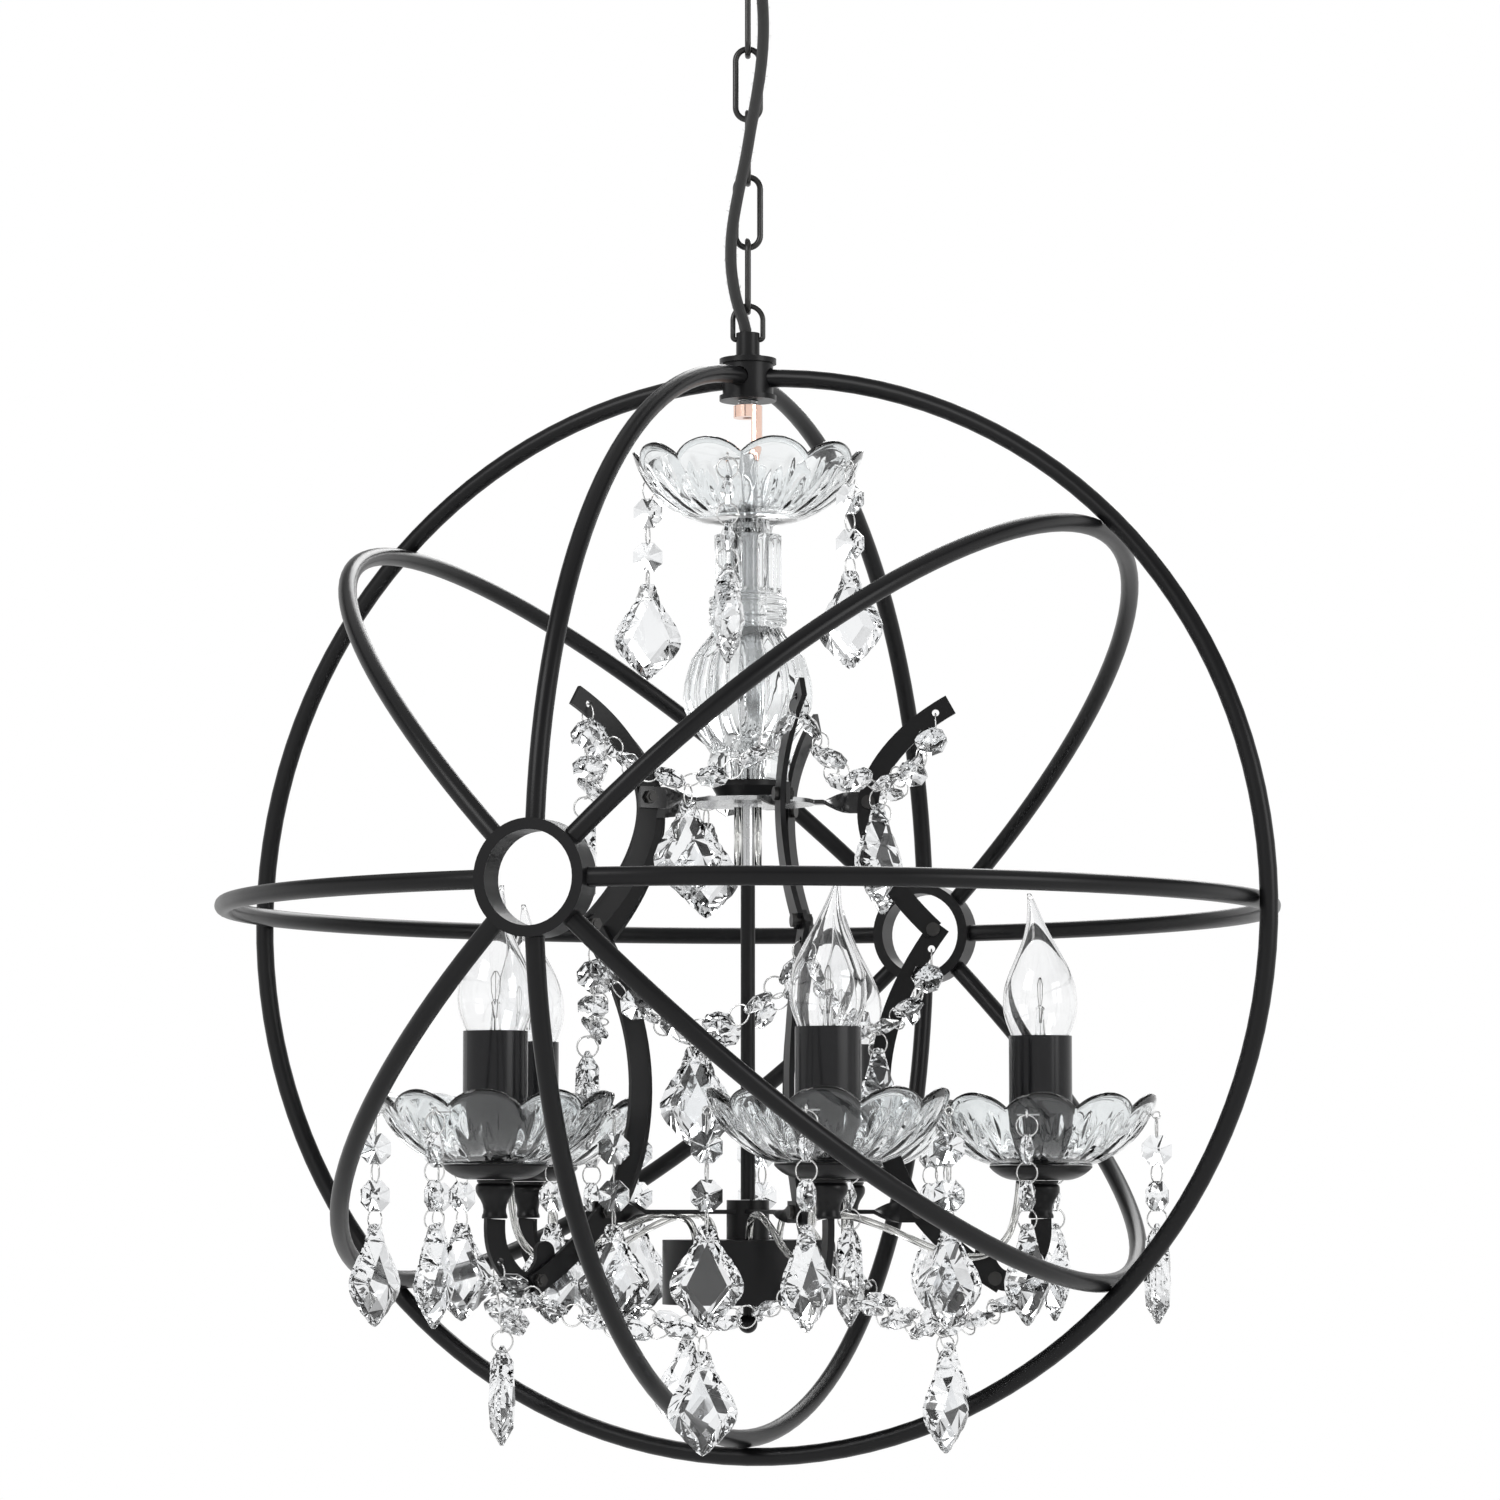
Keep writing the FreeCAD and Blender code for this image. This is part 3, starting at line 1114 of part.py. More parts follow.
def pin():
    """A cross bar inside a dish's wall, a shank through it and a small loop outside."""
    wire = float(size("pin_wire"))
    level = float(size("pin_height"))
    inner = dish_reach(level, float(size("dish_wall"))) - soft_gap
    side = size("pin_bar") / 2
    bar_place = math.sqrt(inner ** 2 - side ** 2) - wire / 2
    bar_piece = rod(V(bar_place, -side, level), V(bar_place, side, level), wire)
    shank = rod(V(bar_place, 0, level), V(pin_reach - size("pin_loop"), 0, level), 0.9 * wire)
    loop = torus(V(pin_reach, 0, level), V(0, 1, 0), size("pin_loop"), wire)
    return bar_piece.fuse([shank, loop])


PIN = pin()
DISHES = [("top", V(0, 0, size("dish_top_base")), 0.0, TOP_PINS)]
DISHES += [(str(k + 1), V(candle_r, 0, dish_base), angle, pins)
           for k, (angle, pins) in enumerate(ARMS)]
dish_pins = []
pendants = {}
for name, centre, arm_angle, pins in DISHES:
    whole_turn = FreeCAD.Rotation(Z_AXIS, arm_angle)
    middle = whole_turn.multVec(centre)
    for k, (angle, turn) in enumerate(pins):
        outward = FreeCAD.Rotation(Z_AXIS, arm_angle + angle).multVec(V(1, 0, 0))
        dish_pins.append(placed(PIN, middle, outward, Z_AXIS))
        top = middle + outward * pin_reach + V(0, 0, size("pin_height") - size("pin_slack"))
        pair = f"pendants_{name}_{'ab'[k // 2]}"
        pendants.setdefault(pair, []).extend(strand(top, outward, turn))
feature("dish_pins", loose(dish_pins))
for label, pieces in pendants.items():
    feature(label, loose(pieces))


def catenary(lengths, span):
    """Slopes of the pieces of a hanging chain whose two ends are level, a span apart."""
    places = [sum(lengths[:k]) + length / 2 - sum(lengths) / 2 for k, length in enumerate(lengths)]
    low, high = 1.0, 10000.0
    for step in range(60):
        middle = (low + high) / 2
        reach = sum(length * math.cos(math.atan(s / middle)) for length, s in zip(lengths, places))
        low, high = (middle, high) if reach < span else (low, middle)
    return places, [math.atan(s / low) for s in places]


def hook_end(level, angle, side, slope):
    """Where a garland leaves a hook ring on one arm, and the ring's own direction there."""
    place, low, thick = HOOKS[level]
    middle = V(place.x, low + thick / 2, place.z - ring_r)
    toward = V(0, side * math.cos(slope), -math.sin(slope))
    grain = V(0, side * math.sin(slope), math.cos(slope))
    turn = FreeCAD.Rotation(Z_AXIS, angle)
    return turn.multVec(middle + toward * ring_r), turn.multVec(grain)


def drop_place(level, beads, angle):
    """The ring that carries the drop: the middle one, or the next where a hoop is in the way."""
    middle = math.radians(angle + 180 / count("arm_count"))
    hoop_close = level == "lower" and abs(math.cos(middle)) < 0.2
    return beads + 1 if hoop_close else beads - 1


def garland(level, beads, angle):
    """Beads and rings from one arm's hook ring to the next, with a drop near the middle."""
    step = 360 / count("arm_count")
    lengths = [float(size("bead_holes")) if k % 2 == 0 else 2 * ring_r for k in range(2 * beads - 1)]
    pull = math.pi / 4
    for again in range(12):
        start, first_grain = hook_end(level, angle, 1, pull)
        end, last_grain = hook_end(level, angle + step, -1, pull)
        places, slopes = catenary(lengths, (end - start).Length)
        pull = math.atan(math.tan(-slopes[0]) / math.cos(math.radians(step / 2)))
    forward = (end - start).normalize()
    outward = forward.cross(Z_AXIS)
    tilt = math.radians(size("garland_tilt"))
    facing = outward * math.cos(tilt) - Z_AXIS * math.sin(tilt)

    def frame_at(slope):
        along = forward * math.cos(slope) + Z_AXIS * math.sin(slope)
        face = (facing - along * facing.dot(along)).normalize()
        return along, face, along.cross(face)

    twists = []
    for slope, grain in ((slopes[0], first_grain), (slopes[-1], last_grain)):
        along, face, across = frame_at(slope)
        twist = math.atan2(grain.dot(across), grain.dot(face))
        twists.append(twist - math.pi * round(twist / math.pi))
    pieces, here = [], start
    for k, (length, place, slope) in enumerate(zip(lengths, places, slopes)):
        along, face, across = frame_at(slope)
        twist = twists[0 if place < 0 else 1] * abs(place / places[0])
        normal = face * math.cos(twist) + across * math.sin(twist)
        middle = here + along * (length / 2)
        if k % 2 == 0:
            pieces.append(placed(BEAD, middle, along, normal))
        else:
            pieces.append(torus(middle, along.cross(normal), ring_r, ring_wire))
        if k == drop_place(level, beads, angle):
            link = middle + normal * ring_r + DOWN * (ring_r - ring_wire - seat_gap)
            pieces.append(torus(link, forward, ring_r, ring_wire))
            pieces.append(placed(DROP_GLASS, link + DOWN * ring_r, DOWN, outward))
        here = here + along * length
    return pieces


GARLAND_BEADS = {"upper": "garland_upper_beads", "middle": "garland_middle_beads",
                 "lower": "garland_lower_beads"}
for level, alias in GARLAND_BEADS.items():
    place, low, thick = HOOKS[level]
    hook_ring = torus(V(place.x, low + thick / 2, place.z - ring_r), V(1, 0, 0), ring_r, ring_wire)
    pieces = [around(hook_ring, ARM_ANGLES)]
    for angle in ARM_ANGLES:
        pieces += garland(level, 2 * (count(alias) // 2), angle)
    feature("garlands_" + level, loose(pieces))

# ---------------------------------------------------------------- checks and files
doc.recompute()
faults = [item.Label for item in doc.Objects if "Invalid" in item.State or "Error" in item.State]
faults += [part.Label for part in sub_parts if part.Shape.isNull() or not part.Shape.isValid()]
faults += [part.Label for part in sub_parts if not part.Shape.Solids]
if faults:
    raise ValueError("not sound: " + ", ".join(faults))

os.makedirs("parts", exist_ok=True)
for part in sub_parts:
    part.Shape.exportStep(f"parts/{part.Label}.step")
print(len(sub_parts), "sub-parts,", sum(len(part.Shape.Solids) for part in sub_parts), "solids")
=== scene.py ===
# %% [markdown]
# # An orb chandelier
# The real lamp is a cage of black steel tube around five candle lights, with cut-glass dishes,
# a glass column and strings of crystal, all hung on a short chain. The solids of every part
# come from the CAD frame and stay where they are. This script gives them their finishes, and
# makes again the pieces that need more than a plain solid: the fabric cord, the glass, the
# crystals, the bulbs and the threads.

import bmesh
import bpy
import json
import math
import numpy as np
from mathutils import Matrix, Vector


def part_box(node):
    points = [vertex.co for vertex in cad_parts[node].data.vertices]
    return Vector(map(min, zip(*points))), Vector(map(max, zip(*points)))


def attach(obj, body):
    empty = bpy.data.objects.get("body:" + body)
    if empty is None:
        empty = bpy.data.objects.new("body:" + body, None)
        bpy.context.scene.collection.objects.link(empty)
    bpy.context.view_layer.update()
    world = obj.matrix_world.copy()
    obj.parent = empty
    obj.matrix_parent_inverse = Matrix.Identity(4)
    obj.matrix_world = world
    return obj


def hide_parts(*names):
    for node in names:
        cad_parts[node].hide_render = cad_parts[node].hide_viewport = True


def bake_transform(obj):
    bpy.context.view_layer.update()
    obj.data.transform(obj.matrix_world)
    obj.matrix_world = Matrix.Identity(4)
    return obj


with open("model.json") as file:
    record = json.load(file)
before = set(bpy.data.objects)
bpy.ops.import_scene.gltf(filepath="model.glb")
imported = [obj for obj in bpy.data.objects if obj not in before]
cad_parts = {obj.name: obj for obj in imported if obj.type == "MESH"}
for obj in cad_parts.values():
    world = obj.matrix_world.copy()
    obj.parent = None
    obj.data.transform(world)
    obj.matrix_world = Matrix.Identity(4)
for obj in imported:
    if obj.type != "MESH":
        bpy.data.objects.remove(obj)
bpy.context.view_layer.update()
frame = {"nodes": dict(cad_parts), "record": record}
nodes = frame["nodes"]
scene = bpy.context.scene

# %% [markdown]
# Lengths are given in millimetres, as on a workshop drawing, and levels are measured from the
# middle of the orb, which hangs 500 mm under the ceiling plate. `spot` turns them into metres
# in the frame. The chain, the cord and a few other pieces were turned to face the camera of
# the photograph, so `seen` takes x to the camera's right and y away from it.

# %% Places
MM = 0.001
ORB_DROP = 500.0
VIEW_TURN = math.radians(21.64)
ARM_COUNT = 5
ARM_TURNS = [math.radians(-53.3) + 2 * math.pi * k / ARM_COUNT for k in range(ARM_COUNT)]
CANDLE_REACH = 137.0


def spot(x, y, level):
    return Vector((x, y, level - ORB_DROP)) * MM


def seen(x, y, level):
    return Matrix.Rotation(VIEW_TURN, 4, "Z") @ spot(x, y, level)


def stand(turn, reach, level):
    """The place and turn of something that stands out on an arm."""
    return Matrix.Rotation(turn, 4, "Z") @ Matrix.Translation(spot(reach, 0, level))


# %% [markdown]
# The photograph was taken from a little below the orb, with a long lens some 2.5 m away, so
# the hoops hardly taper. The camera stands there, and no shift is needed.

# %% Camera
CAMERA_AWAY, CAMERA_LEVEL, LENS = 2452.0, -140.0, 125.3
AIM = (1, 0, 74.9)
camera_data = bpy.data.cameras.new("camera")
camera_data.lens = LENS
camera_data.sensor_width = 36.0
camera_data.clip_start = 0.05
camera_data.clip_end = 60.0
camera = bpy.data.objects.new("camera", camera_data)
scene.collection.objects.link(camera)
camera.location = seen(0, -CAMERA_AWAY, CAMERA_LEVEL)
camera.rotation_mode = "QUATERNION"
camera.rotation_quaternion = (seen(*AIM) - camera.location).to_track_quat("-Z", "Y")
scene.camera = camera

# %% [markdown]
# The cord is a real mains lead in a woven black sleeve. It rises from the loop collar, leans
# on one link of the chain after the other and goes into the canopy. Its middle line is one
# smooth NURBS spline through the air between the links, so it has no kinks.

# %% The cord's line
CORD_WIDTH = 5.5
CORD_ROUTE = [
    (0, -0.2, 264.7), (-0.9, -1.1, 276), (-4.2, -4.8, 284), (-6.6, -6.2, 293), (-8.3, -6.8, 306),
    (-7.8, -7.4, 321), (-4.8, -9.6, 338), (-1, -11.8, 355), (1.4, -11.8, 370), (4.3, -9.6, 386),
    (6.8, -6.6, 404), (7.6, -5, 421), (6.6, -5.6, 438), (4.6, -4.4, 452), (2.6, -1.4, 466),
    (1.6, 0, 477.5), (1.2, 0.4, 487.7)]


def smooth_line(name, points, resolution):
    """A NURBS curve object through control points, not yet in the scene."""
    curve = bpy.data.curves.new(name, "CURVE")
    curve.dimensions = "3D"
    curve.resolution_u = resolution
    spline = curve.splines.new("NURBS")
    spline.points.add(len(points) - 1)
    for control, point in zip(spline.points, points):
        control.co = (*point, 1.0)
    spline.order_u = 3
    spline.use_endpoint_u = True
    return bpy.data.objects.new(name, curve)


def points_of(line):
    """The points that a curve object follows."""
    mesh = bpy.data.meshes.new_from_object(line)
    found = [vertex.co.copy() for vertex in mesh.vertices]
    bpy.data.meshes.remove(mesh)
    return found


cord_line = smooth_line("cord_line", [seen(*point) for point in CORD_ROUTE], 12)
cord_points = points_of(cord_line)
cord_length = sum((b - a).length for a, b in zip(cord_points, cord_points[1:]))
print("cord length", round(cord_length, 4), "points", len(cord_points))

# %% [markdown]
# ## Light and background
# The photograph is a packshot on pure white. White all round would leave glass invisible, so
# the studio is white only where something straight behind the glass is seen; high up and low
# down it falls to grey and near black. Facets bend the view there and draw their dark edges,
# from whatever side the lamp is looked at.
#
# Materials and trees are graphs of nodes. Four short helpers keep their recipes readable:
# `wire` links nodes, and the others make the kinds that come up again and again.

# %% Node helpers
def wire(tree, *joins):
    """Links the nodes of a tree. A join is a node, its output, the next node and its input."""
    for source, output, target, socket in joins:
        tree.links.new(source.outputs[output], target.inputs[socket])


def sockets(tree, way, kind, *labels):
    """Named inputs or outputs of one kind on a group or a geometry tree."""
    for label in labels:
        tree.interface.new_socket(label, in_out=way, socket_type="NodeSocket" + kind)


def maths(tree, *operations):
    """A Math node for each operation."""
    made = [tree.nodes.new("ShaderNodeMath") for _ in operations]
    for node, operation in zip(made, operations):
        node.operation = operation
    return made


def mixer(tree):
    """A node that mixes two colours."""
    mix = tree.nodes.new("ShaderNodeMix")
    mix.data_type = "RGBA"
    return mix


# %% [markdown]
# The world's grey depends only on how steeply a ray goes up or down, so it is the same from
# every side. The camera itself always sees white.

# %% Studio
DIFFUSE_LIGHT = 0.75
GREY_BY_HEIGHT = [(0.1, 1), (0.2, 0.84), (0.4, 0.74), (0.47, 0.3), (0.52, 0.03), (0.62, 0.03), (0.68, 0.6),
                  (0.95, 0.7)]


def world_background():
    """White for the camera, plain light for the lamp, and steps of grey for glass and gloss."""
    world = bpy.data.worlds.new("studio")
    world.use_nodes = True
    scene.world = world
    tree = world.node_tree
    tree.nodes.clear()
    new = tree.nodes.new
    output, direction, path = (new("ShaderNode" + kind) for kind in ("OutputWorld", "TexCoord", "LightPath"))
    plain, white, around = (new("ShaderNodeBackground") for _ in range(3))
    plain.inputs["Color"].default_value = white.inputs["Color"].default_value = (1, 1, 1, 1)
    plain.inputs["Strength"].default_value = DIFFUSE_LIGHT
    mix, shown = new("ShaderNodeMixShader"), new("ShaderNodeMixShader")
    parts, ramp = new("ShaderNodeSeparateXYZ"), new("ShaderNodeValToRGB")
    steep, either, any_seen = maths(tree, "ABSOLUTE", "MAXIMUM", "MAXIMUM")
    first, last = ramp.color_ramp.elements
    for element, (position, grey) in ((first, GREY_BY_HEIGHT[0]), (last, GREY_BY_HEIGHT[-1])):
        element.position, element.color = position, (grey, grey, grey, 1)
    for position, grey in GREY_BY_HEIGHT[1:-1]:
        ramp.color_ramp.elements.new(position).color = (grey, grey, grey, 1)
    wire(tree, (direction, "Generated", parts, 0), (parts, "Z", steep, 0), (steep, 0, ramp, "Fac"),
         (ramp, "Color", around, "Color"), (path, "Is Camera Ray", shown, "Fac"),
         (around, 0, shown, 1), (white, 0, shown, 2), (path, "Is Glossy Ray", either, 0),
         (path, "Is Transmission Ray", either, 1), (either, 0, any_seen, 0),
         (path, "Is Camera Ray", any_seen, 1), (any_seen, 0, mix, "Fac"), (plain, 0, mix, 1),
         (shown, 0, mix, 2), (mix, 0, output, "Surface"))


world_background()
scene.view_settings.view_transform = "Standard"


def soft_lamp(name, place, size, power):
    """A large square lamp that looks at the middle of the orb."""
    data = bpy.data.lights.new(name, "AREA")
    data.size = size
    data.energy = power
    lamp = bpy.data.objects.new(name, data)
    scene.collection.objects.link(lamp)
    lamp.location = place
    lamp.rotation_mode = "QUATERNION"
    lamp.rotation_quaternion = (spot(0, 0, 0) - lamp.location).to_track_quat("-Z", "Y")


soft_lamp("key_lamp", seen(-1500, -1500, 1300), 1.2, 26)
soft_lamp("fill_lamp", seen(1700, -1200, 500), 1.0, 12)
soft_lamp("rim_lamp", seen(400, 1800, 1200), 1.0, 14)

FLOOR_LEVEL, FLOOR_REACH = -560.0, 2600
floor_mesh = bpy.data.meshes.new("floor")
floor_mesh.from_pydata(
    [spot(x * FLOOR_REACH, y * FLOOR_REACH, FLOOR_LEVEL) for x, y in ((-1, -1), (1, -1), (1, 1), (-1, 1))],
    [], [(0, 1, 2, 3)])
floor = bpy.data.objects.new("floor", floor_mesh)
scene.collection.objects.link(floor)


def floor_finish():
    """Pale paper that the camera sees as white where no shadow lies."""
    paper = bpy.data.materials.new("floor_paper")
    paper.use_nodes = True
    surface = paper.node_tree.nodes["Principled BSDF"]
    surface.inputs["Base Color"].default_value = (0.9, 0.9, 0.9, 1)
    surface.inputs["Roughness"].default_value = 0.9
    floor_mesh.materials.append(paper)


floor_finish()

# %% [markdown]
# ## Finishes
# Every finish on the lamp varies a little: paint has a fine grain, plated steel has cloudy
# patches, and dust settles on what faces up. One shader group, `worked_surface`, makes that
# for all of them. It puts out a colour, a roughness and a height, and each material keeps its
# own shader and feeds it with its own values.

# %% Shared surface group
def worked_surface():
    group = bpy.data.node_groups.new("worked_surface", "ShaderNodeTree")
    sockets(group, "INPUT", "Color", "Color", "Patch Color")
    sockets(group, "INPUT", "Float", "Patch Scale", "Grain Scale", "Least Roughness", "Most Roughness",
            "Dust")
    sockets(group, "OUTPUT", "Color", "Color")
    sockets(group, "OUTPUT", "Float", "Roughness", "Height")
    new = group.nodes.new
    given, out = new("NodeGroupInput"), new("NodeGroupOutput")
    place, normal = new("ShaderNodeTexCoord"), new("ShaderNodeNewGeometry")
    patches, grain = new("ShaderNodeTexNoise"), new("ShaderNodeTexNoise")
    patches.inputs["Detail"].default_value = 4
    grain.inputs["Detail"].default_value = 2
    blend, dust, rough = mixer(group), mixer(group), new("ShaderNodeMapRange")
    up, facing = new("ShaderNodeSeparateXYZ"), new("ShaderNodeMapRange")
    facing.inputs["From Min"].default_value = 0.2
    settled, dusty = maths(group, "MULTIPLY", "MULTIPLY")
    dust.inputs["B"].default_value = (0.42, 0.4, 0.37, 1)
    wire(group, (place, "Object", patches, "Vector"), (place, "Object", grain, "Vector"),
         (given, "Patch Scale", patches, "Scale"), (given, "Grain Scale", grain, "Scale"),
         (patches, "Fac", blend, "Factor"), (given, "Color", blend, "A"),
         (given, "Patch Color", blend, "B"), (patches, "Fac", rough, "Value"),
         (given, "Least Roughness", rough, "To Min"), (given, "Most Roughness", rough, "To Max"),
         (normal, "Normal", up, 0), (up, "Z", facing, "Value"), (facing, "Result", settled, 0),
         (patches, "Fac", settled, 1), (settled, 0, dusty, 0), (given, "Dust", dusty, 1),
         (dusty, 0, dust, "Factor"), (blend, "Result", dust, "A"), (dust, "Result", out, "Color"),
         (rough, "Result", out, "Roughness"), (grain, "Fac", out, "Height"))
    return group


WORKED = worked_surface()


def rgba(colour):
    return (*colour, 1.0)


def finish(name, colour, patch, rough, patch_scale=30, grain_scale=1500, bump=0.0, dust=0.0, **shader):
    """A material whose colour, roughness and height come from the shared group."""
    material = bpy.data.materials.new(name)
    material.use_nodes = True
    tree = material.node_tree
    surface = tree.nodes["Principled BSDF"]
    group = tree.nodes.new("ShaderNodeGroup")
    group.node_tree = WORKED
    for label, value in (("Color", rgba(colour)), ("Patch Color", rgba(patch)), ("Patch Scale", patch_scale),
                         ("Grain Scale", grain_scale), ("Least Roughness", rough[0]),
                         ("Most Roughness", rough[1]), ("Dust", dust)):
        group.inputs[label].default_value = value
    wire(tree, (group, "Color", surface, "Base Color"), (group, "Roughness", surface, "Roughness"))
    if bump:
        relief = tree.nodes.new("ShaderNodeBump")
        relief.inputs["Strength"].default_value = bump
        relief.inputs["Distance"].default_value = 0.0002
        wire(tree, (group, "Height", relief, "Height"), (relief, "Normal", surface, "Normal"))
    for label, value in shader.items():
        surface.inputs[label.replace("_", " ")].default_value = value
    return material


# %% [markdown]
# The frame is powder coated satin black, with a very fine orange peel. The chain is dipped in
# a glossier black, and the candle sleeves are glossy plastic. Screws are blackened steel.

# %% Black finishes
powder_coat = finish("black_powder_coat", (0.004, 0.004, 0.0045), (0.007, 0.007, 0.0075), (0.26, 0.38),
                     bump=0.12, dust=0.004, Specular_IOR_Level=0.2)
chain_black = finish("black_chain", (0.012, 0.012, 0.012), (0.022, 0.021, 0.02), (0.16, 0.3),
                     patch_scale=120, bump=0.1, dust=0.01, Specular_IOR_Level=0.4)
screw_black = finish("blackened_screws", (0.02, 0.02, 0.021), (0.05, 0.048, 0.045), (0.25, 0.45),
                     patch_scale=300, Metallic=0.6)
sleeve_black = finish("black_sleeve", (0.004, 0.004, 0.005), (0.006, 0.006, 0.007), (0.16, 0.24),
                      dust=0.004, Specular_IOR_Level=0.3)

# %% [markdown]
# The stud, the rod and the spider disc are bright zinc, the coupling is a pinkish copper
# plate, and the small wires are silver. Plated metal is smooth but a little cloudy.

# %% Plated metals
zinc = finish("bright_zinc", (0.62, 0.63, 0.64), (0.5, 0.5, 0.5), (0.16, 0.34), patch_scale=90,
              bump=0.1, Metallic=1.0)
copper = finish("copper_plate", (0.95, 0.7, 0.6), (0.88, 0.58, 0.47), (0.08, 0.22), patch_scale=150,
                bump=0.08, Metallic=1.0)
silver = finish("silver_wire", (0.75, 0.75, 0.74), (0.6, 0.6, 0.6), (0.08, 0.2), patch_scale=200,
                Metallic=1.0)
tungsten = finish("filament_wire", (0.3, 0.3, 0.3), (0.2, 0.19, 0.18), (0.3, 0.4), Metallic=1.0)
ceramic = finish("pale_plastic", (0.78, 0.77, 0.72), (0.72, 0.7, 0.65), (0.3, 0.45), dust=0.1)

# %% [markdown]
# The spider is one welded piece, plated in the middle and painted outside, so its finish
# changes with the distance from the axis. The bars start where the
# disc ends.

# %% Spider
SPIDER_DISC = 31.6


def spider_finish():
    """Bright zinc on the disc, and black paint on the bars further out than its edge."""
    material = finish("zinc_disc_black_bars", (0.62, 0.63, 0.64), (0.5, 0.5, 0.5), (0.16, 0.34),
                      patch_scale=90)
    tree = material.node_tree
    surface = tree.nodes["Principled BSDF"]
    place, flat = tree.nodes.new("ShaderNodeTexCoord"), tree.nodes.new("ShaderNodeVectorMath")
    flat.operation = "MULTIPLY"
    flat.inputs[1].default_value = (1, 1, 0)
    reach, (inside,) = tree.nodes.new("ShaderNodeVectorMath"), maths(tree, "LESS_THAN")
    reach.operation = "LENGTH"
    inside.inputs[1].default_value = SPIDER_DISC * MM
    colour = mixer(tree)
    colour.inputs["A"].default_value = (0.005, 0.005, 0.0055, 1)
    plated = surface.inputs["Base Color"].links[0].from_socket
    wire(tree, (place, "Object", flat, 0), (flat, 0, reach, 0), (reach, "Value", inside, 0),
         (inside, 0, colour, "Factor"))
    tree.links.new(plated, colour.inputs["B"])
    wire(tree, (colour, "Result", surface, "Base Color"), (inside, 0, surface, "Metallic"))
    return material


# %% [markdown]
# Three kinds of glass: thick pressed and cut glass for the dishes and the column, leaded
# crystal for beads and drops, and thin blown glass for the bulbs. The tint is so faint that
# it only shows where the glass is thick.

# %% Glass
cut_glass = finish("cut_glass", (0.93, 0.945, 0.95), (0.88, 0.9, 0.905), (0.0, 0.03), bump=0.03,
                   grain_scale=200, Transmission_Weight=1.0, IOR=1.5)
crystal = finish("crystal", (0.93, 0.94, 0.95), (0.88, 0.89, 0.9), (0.0, 0.01),
                 Transmission_Weight=1.0, IOR=1.56)
bulb_glass = finish("bulb_glass", (0.99, 0.99, 0.99), (0.97, 0.975, 0.98), (0.0, 0.01),
                    Transmission_Weight=1.0, IOR=1.45)
clear_flex = finish("clear_flex", (0.95, 0.95, 0.93), (0.9, 0.9, 0.88), (0.05, 0.14),
                    Transmission_Weight=1.0, IOR=1.4)

# %% [markdown]
# The solids that are right as they are only need their finish. The table says which node
# gets which, by the record's own slots.

# %% Finish the solids that stay
FINISH_OF = {
    "black_frame": powder_coat, "black_chain": chain_black, "dark_screws": screw_black,
    "zinc_steel": zinc, "copper_coupling": copper, "black_fabric_cord": powder_coat,
    "pale_plastic": ceramic, "black_sleeve": sleeve_black, "clear_flex": clear_flex,
    "silver_wire": silver, "cut_glass": cut_glass, "bulb_glass": bulb_glass, "crystal": crystal}
for part in frame["record"]["subparts"]:
    node = nodes[part["node"]]
    node.data.materials.clear()
    node.data.materials.append(FINISH_OF[part["material_slot"]])
nodes["upper_spider"].data.materials[0] = spider_finish()
nodes["lower_stem"].data.materials[0] = powder_coat

# %% [markdown]
# ## Small workshop
# `skin` stretches a mesh over rings of points, which serves for anything turned, blown or
# drawn. `piece` puts a finished mesh into the scene, on the body that carries it. Only the
# cord and its fibres name no body there, because the cord runs between two.

# %% Mesh helpers
def piece(name, mesh, body, slot, *replaced):
    thing = bpy.data.objects.new(name, mesh)
    scene.collection.objects.link(thing)
    if body:
        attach(thing, body)
    if replaced:
        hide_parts(*replaced)
    return thing


def skin(name, rings, material, closed=False, smooth=True):
    """A mesh over rings of points. Closed joins the last ring to the first, else both ends are capped."""
    along, around = len(rings), len(rings[0])
    faces = []
    for i in range(along if closed else along - 1):
        for j in range(around):
            here, there = i * around, (i + 1) % along * around
            k = (j + 1) % around
            faces.append((here + j, here + k, there + k, there + j))
    if not closed:
        faces += [tuple(range(around)), tuple(range((along - 1) * around, along * around))]
    mesh = bpy.data.meshes.new(name)
    mesh.from_pydata([point for ring in rings for point in ring], [], faces)
    tidy(mesh, smooth)
    mesh.materials.append(material)
    return mesh


def tidy(mesh, smooth):
    """Merges doubles, points the faces outwards and sets the shading."""
    work = bmesh.new()
    work.from_mesh(mesh)
    bmesh.ops.remove_doubles(work, verts=work.verts, dist=1e-6)
    bmesh.ops.recalc_face_normals(work, faces=work.faces)
    for face in work.faces:
        face.smooth = smooth
    work.to_mesh(mesh)
    work.free()


def circle_at(radius, level, around=48):
    """A level ring of points. The radius is a number or a function of the angle."""
    ring = []
    for j in range(around):
        angle = 2 * math.pi * j / around
        wide = radius(angle) if callable(radius) else radius
        ring.append(Vector((wide * math.cos(angle), wide * math.sin(angle), level)) * MM)
    return ring


def joined(meshes, name):
    """One mesh from several, with their materials."""
    whole = bmesh.new()
    finishes = []
    for mesh in meshes:
        start = len(whole.faces)
        whole.from_mesh(mesh)
        whole.faces.ensure_lookup_table()
        for face in whole.faces[start:]:
            material = mesh.materials[face.material_index]
            if material not in finishes:
                finishes.append(material)
            face.material_index = finishes.index(material)
    result = bpy.data.meshes.new(name)
    whole.to_mesh(result)
    whole.free()
    for material in finishes:
        result.materials.append(material)
    return result


